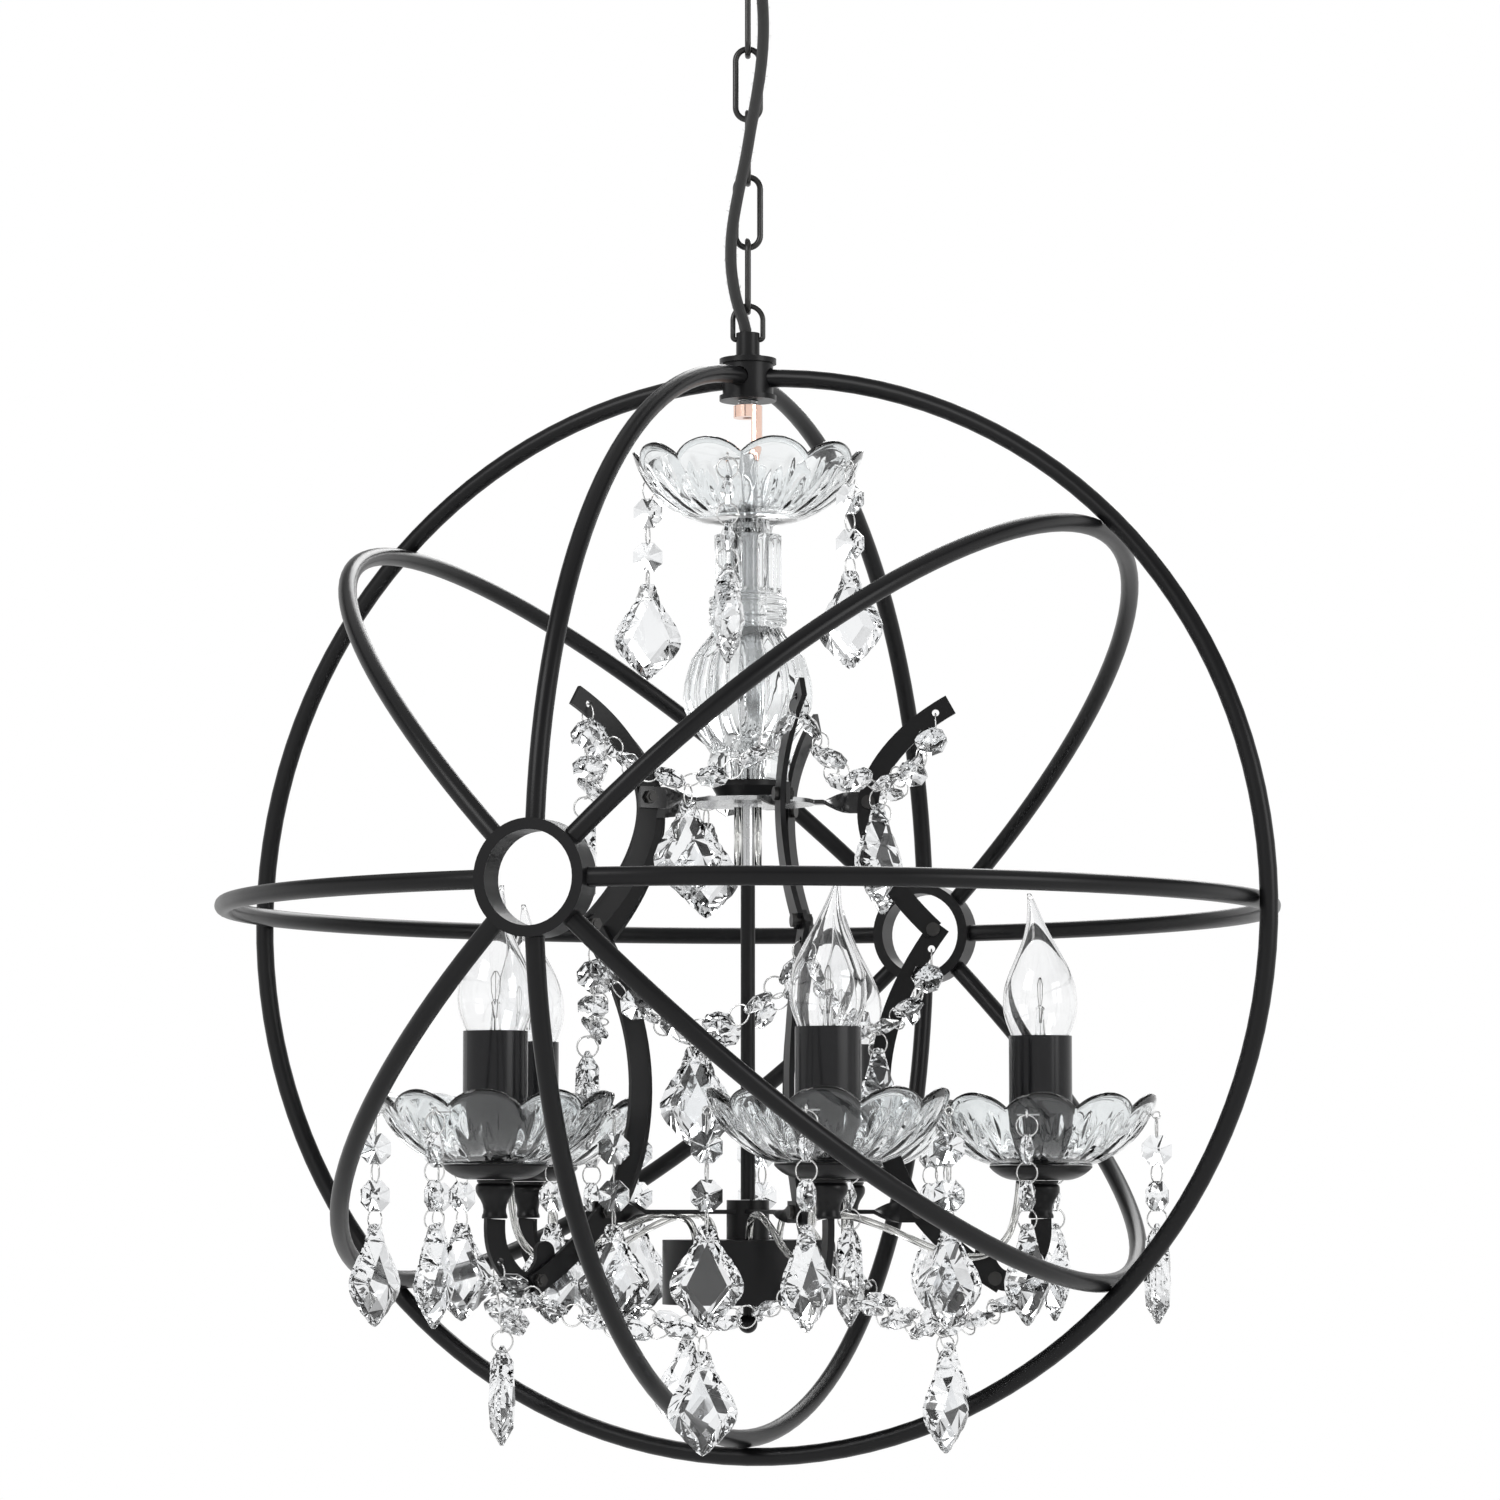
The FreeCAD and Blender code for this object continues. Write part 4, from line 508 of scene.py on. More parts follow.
def steady_frames(points):
    """For each point of a line, two directions across it that don't spin."""
    frames = []
    across = None
    for i in range(len(points)):
        along = (points[min(i + 1, len(points) - 1)] - points[max(i - 1, 0)]).normalized()
        if across is None:
            across = along.orthogonal().normalized()
        across = (across - along * across.dot(along)).normalized()
        frames.append((across, along.cross(across)))
    return frames


def tube(name, points, width, material, around=16):
    """A tube along points, with a UV map: turns round it and metres along it."""
    rings = []
    for point, (across, over) in zip(points, steady_frames(points)):
        angles = [2 * math.pi * j / around for j in range(around)]
        rings.append([point + (across * math.cos(a) + over * math.sin(a)) * (width / 2 * MM) for a in angles])
    mesh = skin(name, rings, material)
    lengths = [0.0]
    for a, b in zip(points, points[1:]):
        lengths.append(lengths[-1] + (b - a).length)
    layer = mesh.uv_layers.new(name="woven")
    for face in mesh.polygons:
        marks = [(v % around / around, lengths[min(v // around, len(lengths) - 1)]) for v in face.vertices]
        wraps = max(m[0] for m in marks) - min(m[0] for m in marks) > 0.5
        for corner, (turn, far) in zip(face.loop_indices, marks):
            layer.data[corner].uv = (turn + 1.0 if wraps and turn < 0.5 else turn, far)
    return mesh


# %% [markdown]
# ## The cord
# The sleeve is woven from fine black threads in a herringbone. Two waves that cross make the
# threads, in the cord's own UV map, so they run round it and follow its bends.

# %% Woven finish
THREADS_ROUND, THREAD_PITCH = 14, 1.4


def weave_group():
    group = bpy.data.node_groups.new("round_weave", "ShaderNodeTree")
    sockets(group, "INPUT", "Float", "Threads", "Pitch")
    sockets(group, "OUTPUT", "Float", "Thread")
    new = group.nodes.new
    given, out = new("NodeGroupInput"), new("NodeGroupOutput")
    where, parts = new("ShaderNodeUVMap"), new("ShaderNodeSeparateXYZ")
    where.uv_map = "woven"
    round_it, along = maths(group, "MULTIPLY", "DIVIDE")
    wire(group, (where, 0, parts, 0), (parts, "X", round_it, 0), (given, "Threads", round_it, 1),
         (parts, "Y", along, 0), (given, "Pitch", along, 1))
    waves = []
    for way in ("ADD", "SUBTRACT"):
        phase, turns, wave = maths(group, way, "MULTIPLY", "SINE")
        turns.inputs[1].default_value = 2 * math.pi
        wire(group, (round_it, 0, phase, 0), (along, 0, phase, 1), (phase, 0, turns, 0),
             (turns, 0, wave, 0))
        waves.append(wave)
    (top,), scaled = maths(group, "MAXIMUM"), new("ShaderNodeMapRange")
    scaled.inputs["From Min"].default_value = -1
    wire(group, (waves[0], 0, top, 0), (waves[1], 0, top, 1), (top, 0, scaled, "Value"),
         (scaled, "Result", out, "Thread"))
    return group


def woven_finish():
    material = finish("black_woven_sleeve", (0.006, 0.006, 0.006), (0.012, 0.012, 0.012), (0.75, 0.9),
                      Sheen_Weight=0.25)
    tree = material.node_tree
    surface = tree.nodes["Principled BSDF"]
    weave = tree.nodes.new("ShaderNodeGroup")
    weave.node_tree = weave_group()
    weave.inputs["Threads"].default_value = THREADS_ROUND
    weave.inputs["Pitch"].default_value = THREAD_PITCH * MM
    # The threads are all one black. Their colour is darker in the gaps between them and lighter on their
    # crests, following the same height as the bump: painted shade in the gaps.
    painted_gap_shade = mixer(tree)
    painted_gap_shade.inputs["A"].default_value = (0.003, 0.003, 0.003, 1)
    painted_gap_shade.inputs["B"].default_value = (0.022, 0.022, 0.022, 1)
    relief = tree.nodes.new("ShaderNodeBump")
    relief.inputs["Strength"].default_value = 0.9
    relief.inputs["Distance"].default_value = 0.0004
    wire(tree, (weave, "Thread", painted_gap_shade, "Factor"), (painted_gap_shade, "Result", surface, "Base Color"),
         (weave, "Thread", relief, "Height"), (relief, "Normal", surface, "Normal"))
    return material


# %% [markdown]
# A woven sleeve is never clean: short fibres stand off it. A tree scatters them over the
# sleeve with a fixed seed, each turned its own way, and lays them close to the surface.

# %% Stray fibres
FIBRES_PER_SQUARE_METRE = 130000.0


def fibres_tree():
    tree = bpy.data.node_groups.new("stray_fibres", "GeometryNodeTree")
    sockets(tree, "INPUT", "Geometry", "Geometry")
    sockets(tree, "INPUT", "Object", "Fibre")
    sockets(tree, "INPUT", "Float", "Per Square Metre")
    sockets(tree, "INPUT", "Material", "Finish")
    sockets(tree, "OUTPUT", "Geometry", "Geometry")
    new = tree.nodes.new
    given, out = new("NodeGroupInput"), new("NodeGroupOutput")
    scatter, shape = new("GeometryNodeDistributePointsOnFaces"), new("GeometryNodeObjectInfo")
    spin, size = new("FunctionNodeRandomValue"), new("FunctionNodeRandomValue")
    turned, placed = new("FunctionNodeRotateRotation"), new("GeometryNodeInstanceOnPoints")
    turned.rotation_space = "LOCAL"
    own, real, finished = (new("FunctionNodeEulerToRotation"), new("GeometryNodeRealizeInstances"),
                           new("GeometryNodeSetMaterial"))
    scatter.inputs["Seed"].default_value = 4
    shape.inputs["As Instance"].default_value = True
    spin.data_type, size.data_type = "FLOAT_VECTOR", "FLOAT"
    spin.inputs[0].default_value = (0, 0.5, 0)
    spin.inputs[1].default_value = (0, 1.4, 2 * math.pi)
    size.inputs[2].default_value, size.inputs[3].default_value = 0.4, 1.3
    wire(tree, (given, "Geometry", scatter, "Mesh"),
         (given, "Per Square Metre", scatter, "Density"), (given, "Fibre", shape, "Object"),
         (scatter, "Points", placed, "Points"), (shape, "Geometry", placed, "Instance"),
         (spin, 0, own, 0), (scatter, "Rotation", turned, "Rotation"),
         (own, 0, turned, "Rotate By"), (turned, 0, placed, "Rotation"), (size, 1, placed, "Scale"),
         (placed, "Instances", real, "Geometry"), (real, "Geometry", finished, "Geometry"),
         (given, "Finish", finished, "Material"), (finished, "Geometry", out, "Geometry"))
    return tree


def input_ids(tree):
    """The identifiers of a tree's inputs by their names."""
    return {item.name: item.identifier for item in tree.interface.items_tree if item.in_out == "INPUT"}


def made_plain(holder, *sources):
    """The plain mesh of an object with a tree. The object and its sources are removed."""
    mesh = bpy.data.meshes.new_from_object(holder.evaluated_get(bpy.context.evaluated_depsgraph_get()))
    holder.modifiers.clear()
    for thing in (holder, *sources):
        bpy.data.objects.remove(thing)
    return mesh


def stray_fibres(name, sleeve, material):
    """Short bent fibres that stand off a sleeve."""
    spots = [Vector((0.25 * k * k / 9, 0, 0.45 * k)) * MM for k in range(4)]
    fibre = bpy.data.objects.new("fibre", tube("fibre", spots, 0.12, material, 3))
    holder = bpy.data.objects.new(name, sleeve.copy())
    scene.collection.objects.link(holder)
    modifier = holder.modifiers.new("fibres", "NODES")
    modifier.node_group = fibres_tree()
    ids = input_ids(modifier.node_group)
    modifier[ids["Fibre"]] = fibre
    modifier[ids["Per Square Metre"]] = FIBRES_PER_SQUARE_METRE
    modifier[ids["Finish"]] = material
    mesh = made_plain(holder, fibre)
    print(name, len(mesh.polygons), "faces")
    return mesh


# %% [markdown]
# The cord is a tube along its line, with stray fibres; the line's length is printed above.
# Both ends go back into the lamp, one at the loop collar and one at the canopy.

# %% The cord
woven = woven_finish()
cord_mesh = tube("power_cord_sleeve", cord_points, CORD_WIDTH, woven, 24)
fibre_mesh = stray_fibres("power_cord_fibres", cord_mesh, woven)
fibres = piece("power_cord_fibres", fibre_mesh, None, "black_fabric_cord")
power_cord = piece("power_cord_sleeve", cord_mesh, None, "black_fabric_cord", "power_cord")
bpy.data.objects.remove(cord_line)

# %% [markdown]
# The chain swings under its top link. The cord and its fibres are not bent with it: their
# meshes are baked into world space as they lie.

# %% Bake the cord into world space
for thing in (power_cord, fibres):
    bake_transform(thing)

# %% [markdown]
# ## Crystals
# A bead is cut on both faces: a flat table in the middle, a narrow girdle round the edge, and
# between them a belt of stars and kites. `cut_bead` takes the outline and works the belt out.

# %% Cut beads
def cut_bead(name, rim, table_share, belt_share, thickness, girdle):
    """The belt's points stand over the middles of the rim's sides, at the height of the facets."""
    number = len(rim)
    corners = [Vector(point) for point in rim]
    sides = [(corners[i] + corners[(i + 1) % number]) / 2 for i in range(number)]
    drop = (1 - belt_share * math.cos(math.pi / number) - table_share) / (1 - table_share)
    belt_level = girdle / 2 + (thickness / 2 - girdle / 2) * max(0.0, min(1.0, drop)) ** 0.9
    verts, faces, edges = [], [], []

    def add(points, share, level):
        start = len(verts)
        verts.extend((*(point * share), level) for point in points)
        return [start + i for i in range(number)]

    for up in (1, -1):
        table = add(corners, table_share, up * thickness / 2)
        belt = add(sides, belt_share, up * belt_level)
        edge = add(corners, 1.0, up * girdle / 2)
        faces.append(tuple(table))
        for i in range(number):
            j = (i + 1) % number
            faces += [(table[i], table[j], belt[i]), (table[j], belt[i], edge[j], belt[j]),
                      (edge[i], edge[j], belt[i])]
        edges.append(edge)
    top, low = edges
    for i in range(number):
        j = (i + 1) % number
        faces.append((top[i], top[j], low[j], low[i]))
    mesh = bpy.data.meshes.new(name)
    mesh.from_pydata([Vector(v) * MM for v in verts], [], faces)
    tidy(mesh, smooth=False)
    return mesh


BEAD_ACROSS, BEAD_THICK, BEAD_GIRDLE, BEAD_SIDES = 14.0, 6.8, 1.8, 8
bead_corner = BEAD_ACROSS / 2 / math.cos(math.pi / BEAD_SIDES)
bead_turns = [math.pi / BEAD_SIDES * (2 * k + 1) for k in range(BEAD_SIDES)]
bead_rim = [(bead_corner * math.cos(turn), bead_corner * math.sin(turn)) for turn in bead_turns]
bead_mesh = cut_bead("bead", bead_rim, 0.1, 0.8, BEAD_THICK, BEAD_GIRDLE)

# %% [markdown]
# The drops are pressed in one mould and polished: large flat facets run from a kite-shaped
# table to a rim of small scallops. Each rim point belongs to one corner of the table, so the
# facets fan out from the corners.

# %% Leaf-shaped drop
DROP_HOLE, DROP_THICK, DROP_RIM = 2.7, 11.0, 1.6
DROP_SIDE = [(2.9, 0, 0), (4.4, 4, 0), (5.9, 8.6, 0), (8.6, 12.6, 1), (12.4, 17.6, 1), (15.4, 23, 1),
             (16.4, 27.6, 2), (14.6, 32.4, 2), (10.2, 37, 2), (5.4, 41.6, 3), (0, 46, 3)]
DROP_TABLE = [(7.5, 0), (18.5, 5.2), (26.5, 9.2), (38, 0), (26.5, -9.2), (18.5, -5.2)]


def leaf_drop(name, scallop=0.45):
    """A drop that hangs along +X from the hole at the origin, its faces towards +Z and -Z."""
    rim = [(y, x, corner) for x, y, corner in DROP_SIDE]
    corners = len(DROP_TABLE)
    rim += [(y, -x, -corner % corners) for x, y, corner in DROP_SIDE[-2::-1]]
    points, owners = [], []
    for k, (x, y, corner) in enumerate(rim):
        x2, y2, _ = rim[(k + 1) % len(rim)]
        points.append((x, y))
        owners.append(corner)
        away = Vector((y2 - y, x - x2)).normalized() * scallop
        points.append(((x + x2) / 2 - away.x, (y + y2) / 2 - away.y))
        owners.append(corner)
    verts, faces, edges = [], [], []
    for up in (1, -1):
        start = len(verts)
        verts += [(x, y, up * DROP_THICK / 2) for x, y in DROP_TABLE]
        verts += [(x, y, up * DROP_RIM / 2) for x, y in points]
        first = start + corners
        faces.append(tuple(range(start, first)))
        for k in range(len(points)):
            j = (k + 1) % len(points)
            faces.append((first + k, first + j, start + owners[k]))
            if owners[j] != owners[k]:
                faces.append((first + j, start + owners[j], start + owners[k]))
        edges.append(first)
    for k in range(len(points)):
        j = (k + 1) % len(points)
        faces.append((edges[0] + k, edges[0] + j, edges[1] + j, edges[1] + k))
    mesh = bpy.data.meshes.new(name)
    mesh.from_pydata([Vector((x - DROP_HOLE, y, z)) * MM for x, y, z in verts], [], faces)
    tidy(mesh, smooth=False)
    return mesh


drop_mesh = leaf_drop("drop")

# %% [markdown]
# The small rings are bent from silver wire. They are only a few pixels wide, so a dozen
# sides round the ring and four round the wire are enough.

# %% Wire ring
RING_RADIUS = 5.0
RING_WIRE = 0.8


def wire_ring(name, radius, wire, around, sides):
    rings = []
    for i in range(around):
        angle = 2 * math.pi * i / around
        out = Vector((math.cos(angle), math.sin(angle), 0))
        rings.append([(out * (radius + wire / 2 * math.cos(2 * math.pi * j / sides))
                       + Vector((0, 0, wire / 2 * math.sin(2 * math.pi * j / sides)))) * MM
                      for j in range(sides)])
    return skin(name, rings, silver, closed=True)


ring_mesh = wire_ring("ring", RING_RADIUS, RING_WIRE, 20, 4)

# %% [markdown]
# The garlands and pendants have some four hundred stones and rings, and the CAD solids
# already say where each hangs. `solids_of` takes a node apart into its solids, and `place_of`
# reads each one's middle and directions from its points. A Geometry Nodes tree then sets a
# cut stone or a ring on every place.

# %% Places of the stones
BEAD, DROP, RING = range(3)
LONGEST_BEAD, THICKEST_RING = 30 * MM, 1.5 * MM


def solids_of(node):
    """The separate solids of a node, each as an array of its points."""
    work = bmesh.new()
    work.from_mesh(nodes[node].data)
    bmesh.ops.remove_doubles(work, verts=work.verts, dist=2e-6)
    seen_points, found = set(), []
    for first in work.verts:
        if first.index in seen_points:
            continue
        group, queue = [], [first]
        seen_points.add(first.index)
        while queue:
            vertex = queue.pop()
            group.append(vertex.co[:])
            for edge in vertex.link_edges:
                other = edge.other_vert(vertex)
                if other.index not in seen_points:
                    seen_points.add(other.index)
                    queue.append(other)
        found.append(np.array(group))
    work.free()
    return found


def place_of(points):
    """What a solid is, and the matrix that lays its own X, Y and Z where the solid has them."""
    middle = points.mean(0)
    axes = np.linalg.eigh(np.cov((points - middle).T))[1]
    spread = (points - middle) @ axes
    low, high = spread.min(0), spread.max(0)
    size = high - low
    kind = DROP if size.max() > LONGEST_BEAD else RING if size.min() < THICKEST_RING else BEAD
    normal, along = Vector(axes[:, 0]), Vector(axes[:, 2])
    centre = Vector(middle + axes @ ((low + high) / 2))
    if kind == DROP:
        along = Vector((0, 0, -1))
        normal = Vector((normal.x, normal.y, 0)).normalized()
        centre = Vector((centre.x, centre.y, points[:, 2].max() - DROP_HOLE * MM))
    across = normal.cross(along).normalized()
    turn = Matrix((along, across, normal)).transposed()
    return kind, Matrix.Translation(centre) @ turn.to_4x4()


def copies_tree(kinds):
    """A tree that sets a shape for each kind on the points of that kind, with its own finish."""
    tree = bpy.data.node_groups.new(f"copies_of_{kinds}_shapes", "GeometryNodeTree")
    for way in ("INPUT", "OUTPUT"):
        sockets(tree, way, "Geometry", "Geometry")
    for k in range(kinds):
        sockets(tree, "INPUT", "Object", f"Shape {k + 1}")
        sockets(tree, "INPUT", "Material", f"Finish {k + 1}")
    new = tree.nodes.new
    given, out = new("NodeGroupInput"), new("NodeGroupOutput")
    kind_of, turn_of = new("GeometryNodeInputNamedAttribute"), new("GeometryNodeInputNamedAttribute")
    kind_of.data_type, turn_of.data_type = "INT", "FLOAT_VECTOR"
    kind_of.inputs["Name"].default_value = "kind"
    turn_of.inputs["Name"].default_value = "turn"
    rotation, everything = new("FunctionNodeEulerToRotation"), new("GeometryNodeJoinGeometry")
    wire(tree, (turn_of, "Attribute", rotation, 0))
    for k in range(kinds):
        shape, same = new("GeometryNodeObjectInfo"), new("FunctionNodeCompare")
        same.data_type, same.operation = "INT", "EQUAL"
        same.inputs[3].default_value = k
        shape.inputs["As Instance"].default_value = True
        placed, real, finished = (new("GeometryNodeInstanceOnPoints"), new("GeometryNodeRealizeInstances"),
                                  new("GeometryNodeSetMaterial"))
        wire(tree, (given, f"Shape {k + 1}", shape, "Object"), (kind_of, "Attribute", same, 2),
             (given, "Geometry", placed, "Points"), (same, "Result", placed, "Selection"),
             (shape, "Geometry", placed, "Instance"), (rotation, 0, placed, "Rotation"),
             (placed, "Instances", real, "Geometry"), (real, "Geometry", finished, "Geometry"),
             (given, f"Finish {k + 1}", finished, "Material"),
             (finished, "Geometry", everything, "Geometry"))
    wire(tree, (everything, "Geometry", out, "Geometry"))
    return tree


def copies(name, tree, places, shapes, finishes):
    """The mesh that the tree makes of places, each a kind and a matrix."""
    points = bpy.data.meshes.new(name)
    points.from_pydata([matrix.translation for kind, matrix in places], [], [])
    kind_of = points.attributes.new("kind", "INT", "POINT")
    kind_of.data.foreach_set("value", [kind for kind, matrix in places])
    turn_of = points.attributes.new("turn", "FLOAT_VECTOR", "POINT")
    turn_of.data.foreach_set("vector", [a for kind, matrix in places for a in matrix.to_euler()])
    holder = bpy.data.objects.new(name, points)
    scene.collection.objects.link(holder)
    modifier = holder.modifiers.new("copies", "NODES")
    modifier.node_group = tree
    sources = [bpy.data.objects.new(mesh.name, mesh) for mesh in shapes]
    ids = input_ids(tree)
    for k, (source, material) in enumerate(zip(sources, finishes)):
        modifier[ids[f"Shape {k + 1}"]] = source
        modifier[ids[f"Finish {k + 1}"]] = material
    mesh = made_plain(holder, *sources)
    mesh.name = name
    print(name, len(places), "copies,", len(mesh.polygons), "faces")
    return mesh


# %% [markdown]
# Every node of a garland or a pair of pendants gets one mesh of cut stones and rings, on the
# same body as its solids, so each pair of pendants still swings on its own pins.

# %% Hang the stones
STRINGS = copies_tree(3)
node_body = {n: body for body, members in frame["record"]["behaviour"]["bodies"].items() for n in members}
for node in sorted(nodes):
    if not node.startswith(("garlands_", "pendants_")):
        continue
    places = [place_of(points) for points in solids_of(node)]
    mesh = copies(node + "_cut", STRINGS, places, (bead_mesh, drop_mesh, ring_mesh),
                  (crystal, crystal, silver))
    piece(node + "_cut", mesh, node_body[node], "crystal", node)

# %% [markdown]
# ## Glass dishes
# Each dish is pressed and then cut: its rim has ten rounded lobes, and pointed leaves are cut
# into the lower half of its wall. The wall's outside is drawn as a function of angle and
# height, and the leaves are sunk into it as V-shaped grooves. A row of leaves is given as
# the shares of the height where it starts and ends, its shift, half width and depth.

# %% Dish
DISH_FOOT, DISH_RADIUS, DISH_HEIGHT, DISH_WALL, DISH_HOLE = 24.0, 55.0, 33.0, 2.8, 10.6
LOBES, LOBE_DIP, LEAVES, RIM_ROUND = 10, 7.0, 20, 0.5
LEAF_ROWS = ((0.04, 0.6, 0.0, 0.085, 1.5), (0.34, 0.78, 0.5, 0.06, 1.1))


def circle_through(p, q, r):
    """Centre and radius of the circle through three points."""
    (x1, y1), (x2, y2), (x3, y3) = p, q, r
    a = x1 * (y2 - y3) - y1 * (x2 - x3) + x2 * y3 - x3 * y2
    far1, far2, far3 = x1 ** 2 + y1 ** 2, x2 ** 2 + y2 ** 2, x3 ** 2 + y3 ** 2
    b = far1 * (y3 - y2) + far2 * (y1 - y3) + far3 * (y2 - y1)
    c = far1 * (x2 - x3) + far2 * (x3 - x1) + far3 * (x1 - x2)
    centre = (-b / (2 * a), -c / (2 * a))
    return centre, math.hypot(x1 - centre[0], y1 - centre[1])


(dish_x, dish_z), dish_bend = circle_through((DISH_FOOT, 0), (43, 11), (DISH_RADIUS, DISH_HEIGHT))


def dish_reach(height, inset=0.0):
    return dish_x + math.sqrt((dish_bend - inset) ** 2 - (height - dish_z) ** 2)


def rim_height(angle):
    """The height of the lobed rim, highest in the middle of a lobe."""
    lobe = 2 * math.pi / LOBES
    half = DISH_RADIUS * math.tan(math.pi / LOBES)
    bend = (half ** 2 + LOBE_DIP ** 2) / (2 * LOBE_DIP)
    off = ((angle % lobe) - lobe / 2) / (lobe / 2) * half
    return DISH_HEIGHT - (bend - math.sqrt(bend ** 2 - off ** 2))


def leaf_depth(angle, share):
    """How deep the leaf cuts go at an angle and a share of the wall's height."""
    deepest = 0.0
    for low, high, shift, width, deep in LEAF_ROWS:
        if low < share < high:
            step = 2 * math.pi / LEAVES
            off = ((angle / step + shift + 0.5) % 1.0 - 0.5) * step
            swell = math.sin(math.pi * (share - low) / (high - low))
            groove = max(0.0, 1 - abs(off) / (width * swell ** 0.75))
            deepest = max(deepest, deep * groove * swell ** 0.4)
    return deepest


def dish_mesh(name, around=240):
    outer = [k / 24 for k in range(25)]
    inner = [k / 8 for k in range(8, -1, -1)]

    def ring(place, *share):
        """A row of points round the dish, where `place` gives each angle's radius and height."""
        turns = [2 * math.pi * j / around for j in range(around)]
        spots = [(turn, *place(turn, rim_height(turn), *share)) for turn in turns]
        return [Vector((radius * math.cos(turn), radius * math.sin(turn), height)) * MM
                for turn, radius, height in spots]

    def inside(angle, top, share):
        height = DISH_WALL + (top - RIM_ROUND - DISH_WALL) * share
        return dish_reach(height, DISH_WALL - RIM_ROUND * share ** 6), height

    def outside(angle, top, share):
        height = (top - RIM_ROUND) * share
        return dish_reach(height) - leaf_depth(angle, share), height

    def crest(angle, top):
        return dish_reach(top, DISH_WALL / 2), top

    rings = [circle_at(DISH_HOLE / 2, 0.0, around), circle_at(20, 0.0, around)]
    rings += [ring(outside, share) for share in outer] + [ring(crest)]
    rings += [ring(inside, share) for share in inner]
    rings.append(circle_at(DISH_HOLE / 2, DISH_WALL, around))
    return skin(name, rings, cut_glass, closed=True)


dish = dish_mesh("cut_dish")
ONE_SHAPE = copies_tree(1)
DISH_BASE, TOP_DISH_BASE = -120.2, 184.0
top_places = [(0, stand(0.0, 0.0, TOP_DISH_BASE))]
candle_places = [(0, stand(turn, CANDLE_REACH, DISH_BASE)) for turn in ARM_TURNS]
piece("top_dish_cut", copies("top_dish_cut", ONE_SHAPE, top_places, (dish,), (cut_glass,)),
      "orb", "cut_glass", "top_dish")
piece("candle_dishes_cut", copies("candle_dishes_cut", ONE_SHAPE, candle_places, (dish,), (cut_glass,)),
      "orb", "cut_glass", "candle_dishes")

# %% [markdown]
# ## Glass column
# The column is one blown and fluted piece: a foot, a swelling urn, a plain ring and a ribbed
# neck. Its outside is a profile of levels and radii, and the flutes are a wave round it. The
# profile's third number is their strength: they fade out at the foot, the ring and the collar.

# %% Column
COLUMN_PROFILE = [
    (60, 19, 0), (69, 19, 0), (70.5, 18.4, 0), (73, 17.75, 0), (76, 19.5, 0.3), (81, 23, 0.7), (87, 27, 1),
    (94, 30.2, 1), (100, 31, 1), (107, 30.2, 1), (113, 28.6, 1), (118, 27, 1), (124, 22.5, 0.9),
    (129, 18.2, 0.5), (133, 16, 0), (134.2, 18.2, 0), (136.4, 18.5, 0), (138, 17.6, 0), (139.8, 18.5, 0),
    (142, 18.5, 0), (143.4, 17.6, 0), (145, 18.5, 0), (146.9, 18.2, 0), (148, 16, 0), (149.5, 16, 0.5),
    (151, 16, 1), (162, 16, 1), (173, 16, 1), (175, 16, 0.5), (176.5, 16, 0), (177.5, 10.6, 0),
    (183.8, 10.5, 0)]
COLUMN_BORE = 6.0
FLUTES, FLUTE_DEPTH = 14, 0.09


def column_mesh(name, around=224):
    heights, radii, strengths = zip(*COLUMN_PROFILE)
    number = len(heights)
    levels = np.interp(np.linspace(0, number - 1, 3 * number - 2), range(number), heights)
    rings = [circle_at(COLUMN_BORE, heights[0], around)]
    for level in levels:
        radius, flute = np.interp(level, heights, radii), np.interp(level, heights, strengths)

        def fluted(angle, radius=radius, flute=flute):
            return radius - flute * FLUTE_DEPTH * radius * (1 - abs(math.sin(FLUTES * angle / 2))) ** 1.2
        rings.append(circle_at(fluted, level, around))
    rings.append(circle_at(COLUMN_BORE, heights[-1], around))
    rings = [[point + spot(0, 0, 0) for point in ring] for ring in rings]
    return skin(name, rings, cut_glass, closed=True)


piece("glass_column_fluted", column_mesh("glass_column_fluted"), "orb", "cut_glass", "glass_column")

# %% [markdown]
# ## Turned necks
# Between each arm and its pan sits a neck that was turned on a lathe: a bulge above, a waist
# below and a small flange at the foot. Its profile goes round a bore, so the skin is closed.

# %% Necks
NECK_FOOT = -145.0
NECK_PROFILE = [
    (2.5, 0), (5.6, 0), (5.9, 0.5), (5.8, 1.4), (5.3, 2.6), (5.2, 4.2), (5.6, 6.4), (6.6, 8.6), (7.8, 10.4),
    (8.6, 12), (8.8, 13.4), (8.7, 14.6), (8.2, 15.5), (7.6, 15.9), (7.8, 16.3), (8.2, 16.9), (8.1, 17.5),
    (2.5, 17.5)]
neck = skin("neck", [circle_at(radius, height, 40) for radius, height in NECK_PROFILE], powder_coat,
            closed=True)
neck_places = [(0, stand(turn, CANDLE_REACH, NECK_FOOT)) for turn in ARM_TURNS]
piece("candle_necks_turned", copies("candle_necks_turned", ONE_SHAPE, neck_places, (neck,), (powder_coat,)),
      "orb", "black_frame", "candle_necks")

# %% [markdown]
# ## Threads
# The stud over the column is a threaded rod. A thread is a groove that climbs by its pitch on
# each turn, so the radius at any point depends on the angle plus the height.

# %% Threaded stud
def thread_mesh(name, radius, low, high, pitch, material, around=40):
    rings = []
    steps = int((high - low) / (pitch / 6))
    for i in range(steps + 1):
        level = low + (high - low) * i / steps

        def wave(angle, level=level):
            phase = (level / pitch - angle / (2 * math.pi)) % 1.0
            return radius - 0.9 * pitch * abs(phase - 0.5)
        rings.append([point + spot(0, 0, 0) for point in circle_at(wave, level, around)])
    return skin(name, rings, material)


